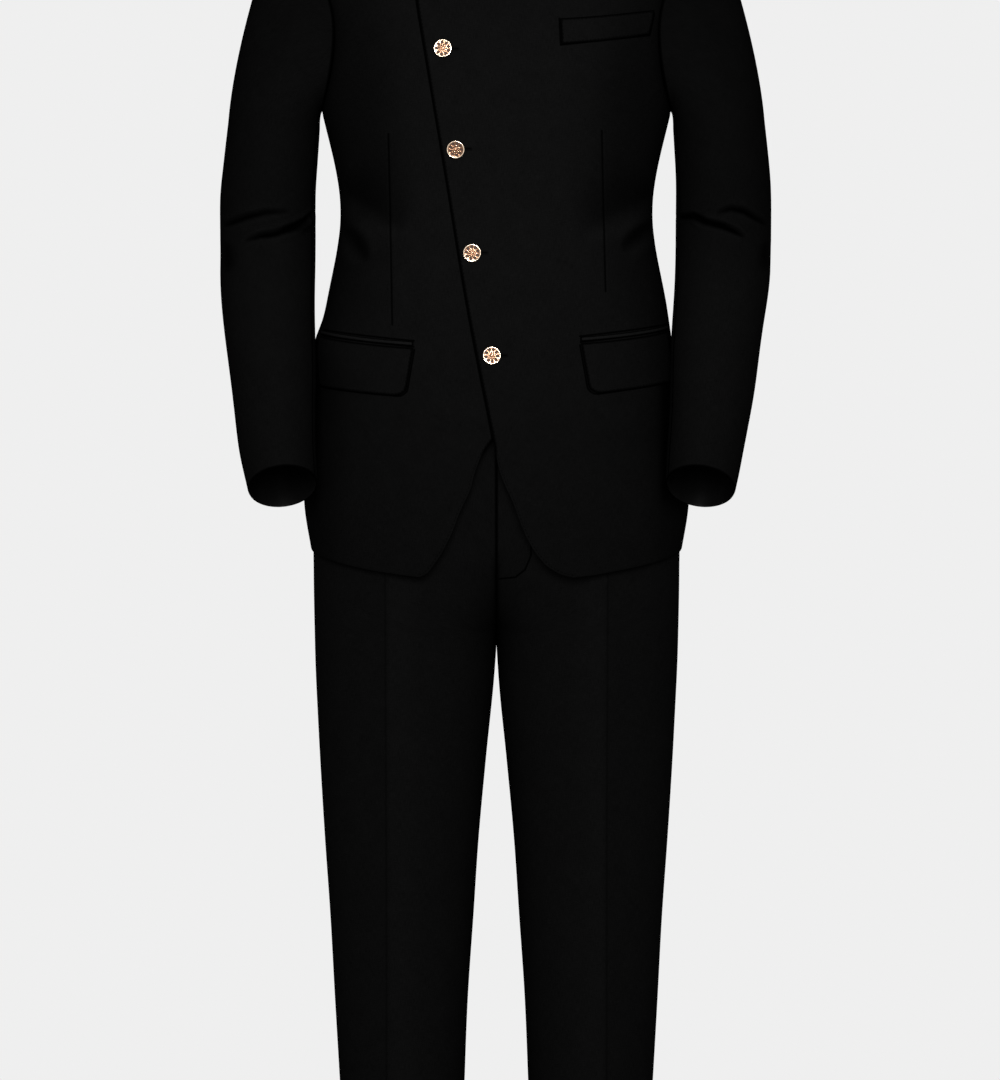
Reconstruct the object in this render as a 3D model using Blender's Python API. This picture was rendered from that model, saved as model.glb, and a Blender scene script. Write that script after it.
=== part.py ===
"""A mandarin collar suit: a jacket with a slanted front closing, and its trousers.

Both are filled out with no one in them. Every piece of cloth is a thin wall between two skins.
Metres, +Z up. The front faces -Y and +X is the wearer's left. The origin is midway between
the shoulder points, where the shoulders of a wearer hold the jacket.
"""

import math

import bmesh
import bpy
import numpy as np
from mathutils import Vector
from mathutils.bvhtree import BVHTree

# Cloth and seams
JACKET_CLOTH = 0.0019
TROUSER_CLOTH = 0.0016
COLLAR_CLOTH = 0.0026
SEAM_GAP = 0.0003
LAP_GAP = 0.0005
LAP_LIFT = JACKET_CLOTH + LAP_GAP
NECK_LAP_EXTRA = 0.0011   # where the cloth turns fastest, under the collar
PROUD_GAP = 0.0007

# The jacket, level by level. "up" runs along the side from the hem to the armpit, up the
# armhole to the shoulder point and in along the shoulder seam to the neck.
JACKET_COLUMNS = ("up", "side_z", "front_z", "back_z", "half_width", "front_depth", "back_depth", "squareness")
JACKET_LEVELS = (
    (0.000, -0.718, -0.741, -0.733, 0.1980, 0.126, 0.123, 2.25),
    (0.044, -0.674, -0.693, -0.687, 0.2050, 0.129, 0.128, 2.25),
    (0.158, -0.560, -0.573, -0.568, 0.1960, 0.124, 0.120, 2.25),
    (0.254, -0.464, -0.474, -0.466, 0.1825, 0.117, 0.110, 2.25),
    (0.363, -0.355, -0.363, -0.352, 0.1660, 0.116, 0.105, 2.25),
    (0.467, -0.251, -0.258, -0.243, 0.1855, 0.127, 0.116, 2.30),
    (0.553, -0.165, -0.190, -0.155, 0.2080, 0.127, 0.118, 2.35),
    (0.628, -0.090, -0.152, -0.108, 0.2160, 0.117, 0.109, 2.30),
    (0.689, -0.029, -0.118, -0.068, 0.2220, 0.104, 0.096, 2.20),
    (0.765, -0.003, -0.084, -0.018, 0.1450, 0.085, 0.077, 2.10),
    (0.852, 0.025, -0.048, 0.036, 0.0680, 0.062, 0.055, 2.00),
)
ARMPIT_UP = 0.467
SHOULDER_UP = 0.689
NECK_UP = 0.852
BODY_ROWS = (0.0, 0.005, 0.012, 0.024, 0.044, 0.075, 0.107, 0.136, 0.170, 0.210, 0.254,
             0.308, 0.363, 0.415)
SHOULDER_ROWS = (0.735, 0.775, 0.815, NECK_UP)
ARM_STEPS = 9          # steps up half of the armhole, and so half of the sleeve's columns
ARMHOLE_FRONT = math.radians(39.5)
ARMHOLE_BACK = math.radians(37)
ARMHOLE_MIDDLE = (0.200, 0.0, -0.145)

# The fronts' edges: where each lies across the body at each height
EDGE_COLUMNS = ("z", "x")
OVER_EDGE = (
    (-0.745, 0.110),
    (-0.7385, 0.086),
    (-0.7350, 0.071),
    (-0.7280, 0.057),
    (-0.7160, 0.045),
    (-0.6930, 0.031),
    (-0.6560, 0.0165),
    (-0.6300, 0.0050),
    (-0.5890, -0.0036),
    (-0.4480, -0.0312),
    (-0.3230, -0.0515),
    (-0.1985, -0.0722),
    (-0.1363, -0.0825),
    (-0.0900, -0.0880),
    (-0.0500, -0.0830),
    (-0.0050, -0.0640),
    (0.0300, -0.0500),
)
UNDER_EDGE = (
    (-0.745, -0.104),
    (-0.7385, -0.084),
    (-0.7350, -0.076),
    (-0.7240, -0.066),
    (-0.6970, -0.050),
    (-0.6650, -0.037),
    (-0.6450, -0.0277),
    (-0.6260, -0.0224),
    (-0.6080, -0.0151),
    (-0.5890, -0.0020),
    (-0.5500, 0.0200),
    (-0.4480, 0.0300),
    (-0.1985, -0.0080),
    (-0.0900, -0.0200),
    (-0.0300, -0.0150),
    (0.0300, -0.0050),
)
LEAST_LAP = 0.008
LAP_COLUMNS = 3
FRONT_COLUMNS = 9
BACK_COLUMNS = 8
LAP_EASE = 0.060

# The sleeve, from the armpit down: the arm's middle line and its half sizes
SLEEVE_COLUMNS = ("down", "x", "y", "z", "half_width", "half_depth")
SLEEVE_LEVELS = (
    (0.000, 0.2365, 0.002, -0.266, 0.0488, 0.0660),
    (0.045, 0.2405, 0.004, -0.311, 0.0500, 0.0640),
    (0.085, 0.2430, 0.006, -0.351, 0.0508, 0.0635),
    (0.120, 0.2430, 0.002, -0.386, 0.0508, 0.0630),
    (0.165, 0.2410, -0.019, -0.428, 0.0504, 0.0600),
    (0.215, 0.2375, -0.042, -0.472, 0.0485, 0.0585),
    (0.265, 0.2335, -0.065, -0.516, 0.0460, 0.0570),
    (0.315, 0.2290, -0.088, -0.560, 0.0430, 0.0555),
    (0.365, 0.2240, -0.111, -0.604, 0.0400, 0.0540),
    (0.410, 0.2185, -0.131, -0.641, 0.0365, 0.0525),
)
SLEEVE_ROWS = (0.410, 0.385, 0.335, 0.285, 0.235, 0.190, 0.165, 0.146, 0.128, 0.110,
               0.092, 0.074, 0.052, 0.026, 0.0)
SLEEVE_SWING = {1: -0.0050, -1: 0.0050}   # how far each cuff hangs out from the even pose
CAP_ROWS = 6
CAP_RISE = 1.12        # share of the way up that each column keeps rising straight
CAP_REACH = 0.085
UNDERARM_RISE = 0.25   # share of the rise at the underarm
UNDERARM_CLEAR = 0.0009
FRONT_SEAM_STEP = 2    # the sleeve's columns where its two pieces meet
BACK_SEAM_STEP = 12

# Elbow folds: distance down the arm, degrees round it from the underarm over the front,
# degrees of length, width, depth and how far the fold climbs along its length
ELBOW_FOLDS = (
    (0.084, 80.0, 62.0, 0.010, 0.0042, 0.010),
    (0.112, 62.0, 58.0, 0.012, 0.0060, 0.014),
    (0.142, 84.0, 50.0, 0.011, 0.0034, 0.006),
    (0.128, 172.0, 34.0, 0.014, -0.0030, -0.010),
)
# Waist folds: x, z, half length along x, half height and depth
WAIST_FOLDS = (
    (-0.128, -0.395, 0.046, 0.017, 0.0032),
    (0.140, -0.376, 0.040, 0.015, 0.0026),
)

# Collar
COLLAR_HEIGHT = 0.042
COLLAR_LEAN = 0.004
COLLAR_ROWS = 5
COLLAR_ROUND = 0.014

# Pockets, as corners on the wearer's left front; the other side mirrors them
FLAP_DEPTH_ROWS = 7
FLAP_COLUMNS = 10
FLAP_INNER_TOP = (0.0885, -0.4935)
FLAP_OUTER_TOP = (0.1800, -0.4845)
FLAP_INNER_LOW = (0.0975, -0.5455)
FLAP_OUTER_LOW = (0.1865, -0.5350)
JET_RISE = 0.0080
JET_WIDTH = 0.0045
WELT_INNER_LOW = (0.0676, -0.1800)
WELT_OUTER_LOW = (0.1600, -0.1700)
WELT_INNER_TOP = (0.0663, -0.1535)
WELT_OUTER_TOP = (0.1650, -0.1445)
WELT_ROWS = 4
FLAP_ROUND = 0.009
POCKET_CLOTH = 0.0016
JET_CLOTH = 0.0011

# Buttons: heights of their middles on the slanted edge
BUTTON_HEIGHTS = (-0.0780, -0.1839, -0.2898, -0.3970, -0.5045)
BUTTON_RADIUS = 0.0098
BUTTON_INSET = 0.0155
BUTTON_STEPS = 16

# The trousers above the crotch, as half ovals round both legs
HIP_COLUMNS = ("z", "half_width", "front_depth", "back_depth")
HIP_LEVELS = (
    (-0.960, 0.1930, 0.108, 0.120),
    (-0.860, 0.1950, 0.111, 0.122),
    (-0.799, 0.1950, 0.112, 0.121),
    (-0.740, 0.1955, 0.112, 0.116),
    (-0.715, 0.1956, 0.112, 0.115),
    (-0.680, 0.1920, 0.111, 0.113),
    (-0.620, 0.1770, 0.108, 0.109),
    (-0.579, 0.1640, 0.105, 0.103),
    (-0.540, 0.1570, 0.102, 0.098),
)
WAIST_Z = -0.579       # the seam under the waistband
FORK_TOP_Z = -0.640
SEAT_Z = -0.700
FORK_LOW_Z = -0.900
FORK_WIDTH = 0.075
CROTCH_Z = -0.799
HIP_SQUARENESS = 2.2

# Each leg below the crotch
LEG_COLUMNS = ("z", "outer", "inner", "front_depth", "back_depth", "middle_y")
LEG_LEVELS = (
    (-1.600, 0.1520, 0.0420, 0.0660, 0.0680, -0.004),
    (-1.450, 0.1600, 0.0385, 0.0680, 0.0700, -0.003),
    (-1.285, 0.1690, 0.0337, 0.0700, 0.0730, -0.002),
    (-1.201, 0.1739, 0.0305, 0.0715, 0.0750, 0.000),
    (-1.115, 0.1787, 0.0250, 0.0735, 0.0780, 0.002),
    (-1.029, 0.1846, 0.0193, 0.0785, 0.0840, 0.004),
    (-0.944, 0.1894, 0.0112, 0.0850, 0.0930, 0.005),
    (-0.861, 0.1930, 0.0036, 0.0930, 0.1040, 0.006),
    (-0.799, 0.1950, 0.0010, 0.1000, 0.1130, 0.006),
)
LEG_SQUARENESS = 2.05
LEG_ROWS = (-1.600, -1.530, -1.450, -1.370, -1.285, -1.201, -1.115, -1.050, -0.985, -0.930,
            -0.880, -0.838, -0.799)
FORK_ROWS = (-0.790, -0.775, -0.752, -0.722, -0.685, -0.640, -0.608, WAIST_Z)
LEG_STEPS = 9          # steps round half a leg
FRONT_CREASE_SHARE = 0.27   # of the way round the leg from the inseam
BACK_CREASE_SHARE = 0.74
CREASE_HEIGHT = 0.0045
CREASE_WIDTH = 0.045
WAISTBAND_HEIGHT = 0.038
WAISTBAND_CLOTH = 0.0022

BLACK_WOOL = (0.010, 0.010, 0.011, 1.0)
ROSE_GOLD = (0.78, 0.52, 0.36, 1.0)


class Profile:
    """The named columns of a table, read at any height by smooth curves between its rows."""

    def __init__(self, names, rows):
        rows = sorted(rows)
        self.keys = np.array([row[0] for row in rows])
        self.values = {}
        self.slopes = {}
        for index, name in enumerate(names[1:], start=1):
            column = np.array([row[index] for row in rows])
            self.values[name] = column
            self.slopes[name] = np.gradient(column, self.keys)

    def at(self, name, key):
        index = int(np.clip(np.searchsorted(self.keys, key) - 1, 0, len(self.keys) - 2))
        span = self.keys[index + 1] - self.keys[index]
        t = (key - self.keys[index]) / span
        values, slopes = self.values[name], self.slopes[name]
        return float(
            values[index] * (1 + 2 * t) * (1 - t) ** 2
            + values[index + 1] * t * t * (3 - 2 * t)
            + slopes[index] * span * t * (1 - t) ** 2
            - slopes[index + 1] * span * t * t * (1 - t)
        )


JACKET = Profile(JACKET_COLUMNS, JACKET_LEVELS)
OVER = Profile(EDGE_COLUMNS, OVER_EDGE)
UNDER = Profile(EDGE_COLUMNS, UNDER_EDGE)
SLEEVE = Profile(SLEEVE_COLUMNS, SLEEVE_LEVELS)
HIPS = Profile(HIP_COLUMNS, HIP_LEVELS)
LEG = Profile(LEG_COLUMNS, LEG_LEVELS)


def smooth_step(low, high, value):
    t = min(1.0, max(0.0, (value - low) / (high - low)))
    return t * t * (3 - 2 * t)


def oval(turn, square):
    """Across and outward shares of a rounded oval, from 0 at the side to 90 degrees in front."""
    across, outward = math.cos(turn), abs(math.sin(turn))
    size = (abs(across) ** square + outward ** square) ** (1 / square)
    return across / size, outward / size


def normal_of(surface, a, b, step_a, step_b):
    """Outward normal of surface(a, b), where a climbs and b turns from the side to the front."""
    climb = surface(a + step_a, b) - surface(a - step_a, b)
    turned = surface(a, b + step_b) - surface(a, b - step_b)
    return climb.cross(turned).normalized()


def wall(name, outer, inner, finish):
    """One piece of cloth between two grids of points, each rows x columns."""
    rows, columns = len(outer), len(outer[0])
    bm = bmesh.new()
    made = bmesh.ops.create_grid(bm, x_segments=columns - 1, y_segments=rows - 1, size=1.0)
    for index, vert in enumerate(made["verts"]):
        row, column = divmod(index, columns)
        vert.co = (column, row, 0)
    skin = list(bm.verts)
    raised = bmesh.ops.extrude_face_region(bm, geom=bm.faces[:] + bm.edges[:], use_keep_orig=True)
    for item in raised["geom"]:
        if isinstance(item, bmesh.types.BMVert):
            item.co = inner[round(item.co.y)][round(item.co.x)]
    for vert in skin:
        vert.co = outer[round(vert.co.y)][round(vert.co.x)]
    bmesh.ops.recalc_face_normals(bm, faces=bm.faces)
    if bm.calc_volume(signed=True) < 0:
        bmesh.ops.reverse_faces(bm, faces=bm.faces)
    return finished(name, bm, finish)


def finished(name, bm, finish):
    mesh = bpy.data.meshes.new(name)
    bm.to_mesh(mesh)
    bm.free()
    mesh.shade_smooth()
    mesh.set_sharp_from_angle(angle=math.radians(40))
    mesh.materials.append(finish)
    piece = bpy.data.objects.new(name, mesh)
    bpy.context.collection.objects.link(piece)
    return piece


def material(name, colour, roughness, metallic):
    made = bpy.data.materials.new(name)
    made.use_nodes = True
    shader = made.node_tree.nodes["Principled BSDF"]
    shader.inputs["Base Color"].default_value = colour
    shader.inputs["Roughness"].default_value = roughness
    shader.inputs["Metallic"].default_value = metallic
    return made


def skins(points, normals, thickness):
    """The outer and inner grids of a wall whose outer points and outward normals are given."""
    inner = [
        [place - out * thickness for place, out in zip(row, row_out)]
        for row, row_out in zip(points, normals)
    ]
    return points, inner


# The jacket's body


def jacket_surface(up, turn):
    """A place on the jacket: turn is 0 at the side, 90 degrees in front and -90 behind."""
    front = math.sin(turn) >= 0
    across, outward = oval(turn, JACKET.at("squareness", up))
    depth = JACKET.at("front_depth" if front else "back_depth", up)
    far_z = JACKET.at("front_z" if front else "back_z", up)
    side_share = math.cos(turn) ** 2
    return Vector((
        JACKET.at("half_width", up) * across,
        (-depth if front else depth) * outward,
        JACKET.at("side_z", up) * side_share + far_z * (1 - side_share),
    ))


def jacket_normal(up, turn):
    """The outward normal on the wearer's left half."""
    return normal_of(jacket_surface, up, turn, 0.0005, 0.002)


def mirrored(place, side):
    return Vector((place.x * side, place.y, place.z))


def waist_dent(place):
    """How far the folds at the waist sink into the front at this place."""
    dent = 0.0
    for x, z, half_length, half_height, depth in WAIST_FOLDS:
        across = (place.x - x) / half_length
        along = (place.z - z + 0.5 * (place.x - x)) / half_height
        dent += depth * math.exp(-across * across - along * along)
    return dent


def turn_where(up, side, edge_x):
    """The turn at which one half's level meets an edge line on the front."""
    square = JACKET.at("squareness", up)
    half = JACKET.at("half_width", up)
    turn = math.pi / 2
    for _ in range(14):
        share = side * edge_x(jacket_surface(up, turn).z) / half
        share = min(0.999, max(-0.999, share))
        turn = math.atan2((1 - abs(share) ** square) ** (1 / square), share)
    return turn


def over_x(z):
    return OVER.at("x", z)


def under_x(z):
    return UNDER.at("x", z)


def lap_limit_x(z):
    """Where the lap ends under the over front, always a little in from its edge."""
    return max(under_x(z), over_x(z) + LEAST_LAP)


def lap_start_x(z):
    """Where the lap begins on the under front, always a little in from its edge."""
    return min(over_x(z), under_x(z) - LEAST_LAP)


def arm_share(step):
    """How far up the armhole a step lies, from 0 at the armpit to 1 at the shoulder."""
    return (1 - math.cos(math.pi * step / ARM_STEPS)) / 2


def arm_turn(step, front):
    return (ARMHOLE_FRONT if front else ARMHOLE_BACK) * math.sin(math.pi * step / ARM_STEPS)


def body_rows():
    """Every level of the body's panels, with the armhole step it meets or None."""
    rows = [(up, None) for up in BODY_ROWS]
    reach = SHOULDER_UP - ARMPIT_UP
    rows += [(ARMPIT_UP + reach * arm_share(step), step) for step in range(ARM_STEPS + 1)]
    return rows + [(up, None) for up in SHOULDER_ROWS]


def side_limit(up, step, front):
    """The turn at which a panel stops, half a seam short of its side, armhole or shoulder."""
    depth = JACKET.at("front_depth" if front else "back_depth", up)
    bulge = arm_turn(step, front) if step is not None else 0.0
    return bulge + SEAM_GAP / 2 / depth


def spread(start, end, count):
    return [start + (end - start) * index / count for index in range(count + 1)]


def front_turns(up, step, side, edge_x, guide_x):
    edge = turn_where(up, side, edge_x)
    guide = turn_where(up, side, guide_x)
    limit = side_limit(up, step, True)
    return spread(edge, guide, LAP_COLUMNS) + spread(guide, limit, FRONT_COLUMNS)[1:]


def front_place(up, turn, side, lift):
    """An outer point of a front and its normal, with the waist folds and the lap's lift."""
    place = mirrored(jacket_surface(up, turn), side)
    out = mirrored(jacket_normal(up, turn), side)
    return place + out * (lift(place) - waist_dent(place)), out


def over_lift(place):
    """The over front rides on the under front, and eases back to it past the lap."""
    limit = lap_limit_x(place.z)
    lift = LAP_LIFT + NECK_LAP_EXTRA * smooth_step(-0.090, -0.020, place.z)
    return lift * (1 - smooth_step(limit, limit + LAP_EASE, place.x))


def under_lift(place):
    """The under front lies flat on the body's form everywhere."""
    return 0.0


def front_panel(name, side, edge_x, guide_x, lift, finish):
    points, normals = [], []
    for up, step in body_rows():
        row = [front_place(up, turn, side, lift) for turn in front_turns(up, step, side, edge_x, guide_x)]
        points.append([place for place, _ in row])
        normals.append([out for _, out in row])
    wall(name, *skins(points, normals, JACKET_CLOTH), finish)
    return points


def back_panel(name, side, finish):
    points, normals = [], []
    for up, step in body_rows():
        half = JACKET.at("half_width", up)
        middle = math.pi / 2 - SEAM_GAP / 2 / half
        turns = spread(middle, side_limit(up, step, False), BACK_COLUMNS)
        points.append([mirrored(jacket_surface(up, -turn), side) for turn in turns])
        normals.append([mirrored(jacket_normal(up, -turn), side) for turn in turns])
    wall(name, *skins(points, normals, JACKET_CLOTH), finish)
    return points


# Sleeves


def armhole_place(step):
    """The armhole's line on the body, its outward normal and the way out of the body."""
    round_step = step % (2 * ARM_STEPS)
    front = round_step <= ARM_STEPS
    up = ARMPIT_UP + (SHOULDER_UP - ARMPIT_UP) * arm_share(round_step)
    turn = arm_turn(round_step, True) if front else -arm_turn(2 * ARM_STEPS - round_step, False)
    place = jacket_surface(up, turn)
    return place, jacket_normal(up, turn)


def armhole_way(step):
    """The direction in the cloth that leads out of the armhole, away from the body's panels."""
    place, out = armhole_place(step)
    along = armhole_place(step + 0.05)[0] - armhole_place(step - 0.05)[0]
    way = out.cross(along).normalized()
    towards_hole = Vector(ARMHOLE_MIDDLE) - place
    return way if way.dot(towards_hole) > 0 else -way


def arm_middle(down, side):
    """The arm's middle line, drawn for the wearer's left; each side swings a little its own way."""
    swing = SLEEVE_SWING[side] * smooth_step(0.0, SLEEVE_LEVELS[-1][0], down)
    return Vector((SLEEVE.at("x", down) + swing, SLEEVE.at("y", down), SLEEVE.at("z", down)))


def arm_axis(down, side):
    return (arm_middle(down + 0.004, side) - arm_middle(down - 0.004, side)).normalized()


def sleeve_ring(down, angle, side):
    """A place on the sleeve: the angle runs from the underarm over the front to the outside."""
    middle = arm_middle(down, side)
    axis = arm_axis(down, side)
    across = Vector((1.0, 0.0, 0.0))
    across = (across - axis * across.dot(axis)).normalized()
    forward = across.cross(axis).normalized()
    if forward.y > 0:
        forward = -forward
    inward = -math.cos(angle)
    place = middle
    place = place + across * SLEEVE.at("half_width", down) * inward
    place = place + forward * SLEEVE.at("half_depth", down) * math.sin(angle)
    radial = (place - middle).normalized()
    return place - radial * elbow_dent(down, math.degrees(angle) % 360)


def elbow_dent(down, degrees):
    dent = 0.0
    for fold_down, around, length, width, depth, slope in ELBOW_FOLDS:
        apart = (degrees - around + 180) % 360 - 180
        line = fold_down + slope * apart / length
        share = apart / length
        dent += depth * math.exp(-share * share * 2 - ((down - line) / width) ** 2)
    return dent


def sleeve_grid(side):
    """Points of a whole sleeve, cuff to armhole, as if on the wearer's left, and its normals."""
    count = 2 * ARM_STEPS
    angles = [math.pi * step / ARM_STEPS for step in range(count)]
    arm = [[sleeve_ring(down, angle, side) for angle in angles] for down in SLEEVE_ROWS]
    shift = [SEAM_GAP] * count
    for _ in range(3):
        cap = [sleeve_cap(step, angles[step], side, shift[step]) for step in range(count)]
        grid = arm + [[column[row] for column in cap] for row in range(CAP_ROWS)]
        normals = grid_normals(grid)
        shift = [
            SEAM_GAP + JACKET_CLOTH * max(0.0, normals[-1][step].dot(armhole_way(step)))
            for step in range(count)
        ]
    return grid, normals


def sleeve_cap(step, angle, side, shift):
    """One column from the armpit's ring up to the armhole, leaving both ends smoothly."""
    start = sleeve_ring(0.0, angle, side)
    leave = -arm_axis(0.0, side)
    target, body_out = armhole_place(step)
    way = armhole_way(step)
    under = max(0.0, math.cos(angle)) ** 1.5
    end = target + way * shift + body_out * UNDERARM_CLEAR * under
    arrive = (way * (1 - under) + body_out * under).normalized()
    outside = (1 - math.cos(angle)) / 2
    strength = UNDERARM_RISE + (1 - UNDERARM_RISE) * outside
    gap = (end - start).length
    rise = CAP_RISE * gap * strength
    reach = min(CAP_REACH, gap * 0.6)
    column = []
    for row in range(1, CAP_ROWS + 1):
        t = row / CAP_ROWS
        column.append(
            start * ((1 + 2 * t) * (1 - t) ** 2)
            + end * (t * t * (3 - 2 * t))
            + leave * (rise * t * (1 - t) ** 2)
            + arrive * (reach * t * t * (1 - t))
        )
    return column


def grid_normals(grid):
    """Outward normals of a grid whose columns close on themselves."""
    rows, columns = len(grid), len(grid[0])
    normals = []
    for row in range(rows):
        line = []
        for column in range(columns):
            above = grid[min(row + 1, rows - 1)][column]
            below = grid[max(row - 1, 0)][column]
            after = grid[row][(column + 1) % columns]
            before = grid[row][column - 1]
            line.append((above - below).cross(after - before).normalized())
        normals.append(line)
    middle = sum((place for place in grid[0]), Vector()) / columns
    if normals[0][0].dot(grid[0][0] - middle) < 0:
        normals = [[-out for out in line] for line in normals]
    return normals


def sleeve_piece(name, side, grid, normals, first, last, finish):
    """The columns of a sleeve from one seam round to the other."""
    count = 2 * ARM_STEPS
    steps = range(first, last + 1)
    points, outs = [], []
    for line, line_out in zip(grid, normals):
        row = [line[step % count].copy() for step in steps]
        out_row = [line_out[step % count] for step in steps]
        row[0] += across_seam(line, line_out, first) * (SEAM_GAP / 2)
        row[-1] -= across_seam(line, line_out, last) * (SEAM_GAP / 2)
        points.append([mirrored(place, side) for place in row])
        outs.append([mirrored(out, side) for out in out_row])
    wall(name, *skins(points, outs, JACKET_CLOTH), finish)


def across_seam(line, line_out, step):
    """The direction round the sleeve at a seam, onward from the underarm over the front."""
    count = len(line)
    along = line[(step + 1) % count] - line[(step - 1) % count]
    out = line_out[step % count]
    return (along - out * along.dot(out)).normalized()


def sleeves(finish):
    count = 2 * ARM_STEPS
    for label, side in (("left", 1), ("right", -1)):
        grid, normals = sleeve_grid(side)
        sleeve_piece(f"sleeve_top_{label}", side, grid, normals, FRONT_SEAM_STEP, BACK_SEAM_STEP, finish)
        sleeve_piece(f"sleeve_under_{label}", side, grid, normals, BACK_SEAM_STEP, count + FRONT_SEAM_STEP, finish)


# Collar


def collar(over_top, back_left_top, back_right_top, under_top, finish):
    """The band on the neck's edge, from the over front round the back to the under front."""
    base = list(over_top) + list(reversed(back_left_top)) + list(back_right_top) + list(reversed(under_top))
    lengths = [0.0]
    for before, after in zip(base, base[1:]):
        lengths.append(lengths[-1] + (after - before).length)
    outer, inner = [], []
    for row in range(COLLAR_ROWS + 1):
        share = row / COLLAR_ROWS
        outer_row, inner_row = [], []
        for index, place in enumerate(base):
            out = Vector((place.x, place.y, 0.0)).normalized()
            from_end = min(lengths[index], lengths[-1] - lengths[index])
            height = COLLAR_HEIGHT * share
            if from_end < COLLAR_ROUND:
                cut = COLLAR_ROUND - from_end
                height -= share * (COLLAR_ROUND - math.sqrt(COLLAR_ROUND ** 2 - cut ** 2))
            rise = Vector((0.0, 0.0, SEAM_GAP + height))
            edge = place + rise - out * COLLAR_LEAN * share
            outer_row.append(edge)
            inner_row.append(edge - out * COLLAR_CLOTH)
        outer.append(outer_row)
        inner.append(inner_row)
    wall("collar", outer, inner, finish)


# What lies on the fronts


class Front:
    """A front's outer face, which pockets and buttons are laid on."""

    def __init__(self, side, points):
        bm = bmesh.new()
        rows, columns = len(points), len(points[0])
        made = bmesh.ops.create_grid(bm, x_segments=columns - 1, y_segments=rows - 1, size=1.0)
        for index, vert in enumerate(made["verts"]):
            row, column = divmod(index, columns)
            vert.co = points[row][column]
        bmesh.ops.triangulate(bm, faces=bm.faces)
        self.side = side
        self.tree = BVHTree.FromBMesh(bm)
        bm.free()

    def spot(self, x, z):
        """The level and turn of this x and z, where x is measured towards the front's own side."""
        up = z - JACKET_LEVELS[0][1]
        for _ in range(20):
            turn = turn_where(up, 1, lambda _: x)
            up += 0.8 * (z - jacket_surface(up, turn).z)
        return up, turn

    def place(self, up, turn):
        """The point of the front at this level and turn, and the cloth's smooth normal there."""
        out = mirrored(jacket_normal(up, turn), self.side)
        above = mirrored(jacket_surface(up, turn), self.side) + out * 0.03
        hit, _, _, _ = self.tree.ray_cast(above, -out)
        if hit is None:
            raise ValueError(f"nothing of the front lies at level {up:.3f}, turn {turn:.3f}")
        return hit, out


def laid_on(name, front, corners, rows, columns, lift, cloth, rounding, finish):
    """A piece laid on a front between four corners given in x and z: low inner, low outer,
    top inner, top outer. Its low corners are rounded."""
    low_inner, low_outer, top_inner, top_outer = (np.array(front.spot(x, z)) for x, z in corners)
    length = math.dist(corners[0], corners[1])
    height = math.dist(corners[0], corners[2])
    points, normals = [], []
    for row in range(rows + 1):
        v = row / rows
        line, line_out = [], []
        for column in range(columns + 1):
            u = column / columns
            low = low_inner + (low_outer - low_inner) * u
            top = top_inner + (top_outer - top_inner) * u
            from_end = min(u, 1 - u) * length
            if from_end < rounding:
                cut = rounding - from_end
                lost = (rounding - math.sqrt(rounding ** 2 - cut ** 2)) / height
                low = low + (top - low) * lost
            place, out = front.place(*(low + (top - low) * v))
            line.append(place + out * (lift + cloth))
            line_out.append(out)
        points.append(line)
        normals.append(line_out)
    wall(name, *skins(points, normals, cloth), finish)


def pockets(fronts, finish):
    flap = (FLAP_INNER_LOW, FLAP_OUTER_LOW, FLAP_INNER_TOP, FLAP_OUTER_TOP)
    jet = [
        (FLAP_INNER_TOP[0] - 0.001, FLAP_INNER_TOP[1] + JET_RISE - JET_WIDTH),
        (FLAP_OUTER_TOP[0], FLAP_OUTER_TOP[1] + JET_RISE - JET_WIDTH),
        (FLAP_INNER_TOP[0] - 0.001, FLAP_INNER_TOP[1] + JET_RISE),
        (FLAP_OUTER_TOP[0], FLAP_OUTER_TOP[1] + JET_RISE),
    ]
    for label, side in (("left", 1), ("right", -1)):
        laid_on(f"flap_{label}", fronts[side], flap, FLAP_DEPTH_ROWS, FLAP_COLUMNS,
                PROUD_GAP, POCKET_CLOTH, FLAP_ROUND, finish)
        laid_on(f"jet_{label}", fronts[side], jet, 1, FLAP_COLUMNS,
                PROUD_GAP, JET_CLOTH, 0.0, finish)
    welt = (WELT_INNER_LOW, WELT_OUTER_LOW, WELT_INNER_TOP, WELT_OUTER_TOP)
    laid_on("breast_welt", fronts[1], welt, WELT_ROWS, FLAP_COLUMNS,
            PROUD_GAP, POCKET_CLOTH, 0.0, finish)


def buttons(front, finish):
    """Turned buttons with a raised rim, a dished face and a boss in the middle."""
    face = (
        # radius and height as shares of the button's radius
        (0.00, 0.34), (0.16, 0.34), (0.26, 0.24), (0.52, 0.20), (0.72, 0.22), (0.80, 0.36),
        (0.92, 0.38), (1.00, 0.26), (0.96, 0.10), (0.62, 0.00), (0.00, 0.00),
    )
    for number, z in enumerate(BUTTON_HEIGHTS, start=1):
        place, out = front.place(*front.spot(over_x(z) + BUTTON_INSET, z))
        bm = bmesh.new()
        verts = [bm.verts.new((radius * BUTTON_RADIUS, 0.0, height * BUTTON_RADIUS)) for radius, height in face]
        edges = [bm.edges.new(pair) for pair in zip(verts, verts[1:])]
        bmesh.ops.spin(bm, geom=verts + edges, cent=(0, 0, 0), axis=(0, 0, 1), angle=math.tau,
                       steps=BUTTON_STEPS, use_merge=True)
        bmesh.ops.remove_doubles(bm, verts=bm.verts, dist=1e-6)
        turn = out.to_track_quat("Z", "Y").to_matrix().to_4x4()
        bmesh.ops.transform(bm, verts=bm.verts, matrix=turn)
        bmesh.ops.translate(bm, verts=bm.verts, vec=place + out * PROUD_GAP)
        bmesh.ops.recalc_face_normals(bm, faces=bm.faces)
        finished(f"button_{number}", bm, finish)


# Trousers


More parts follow.
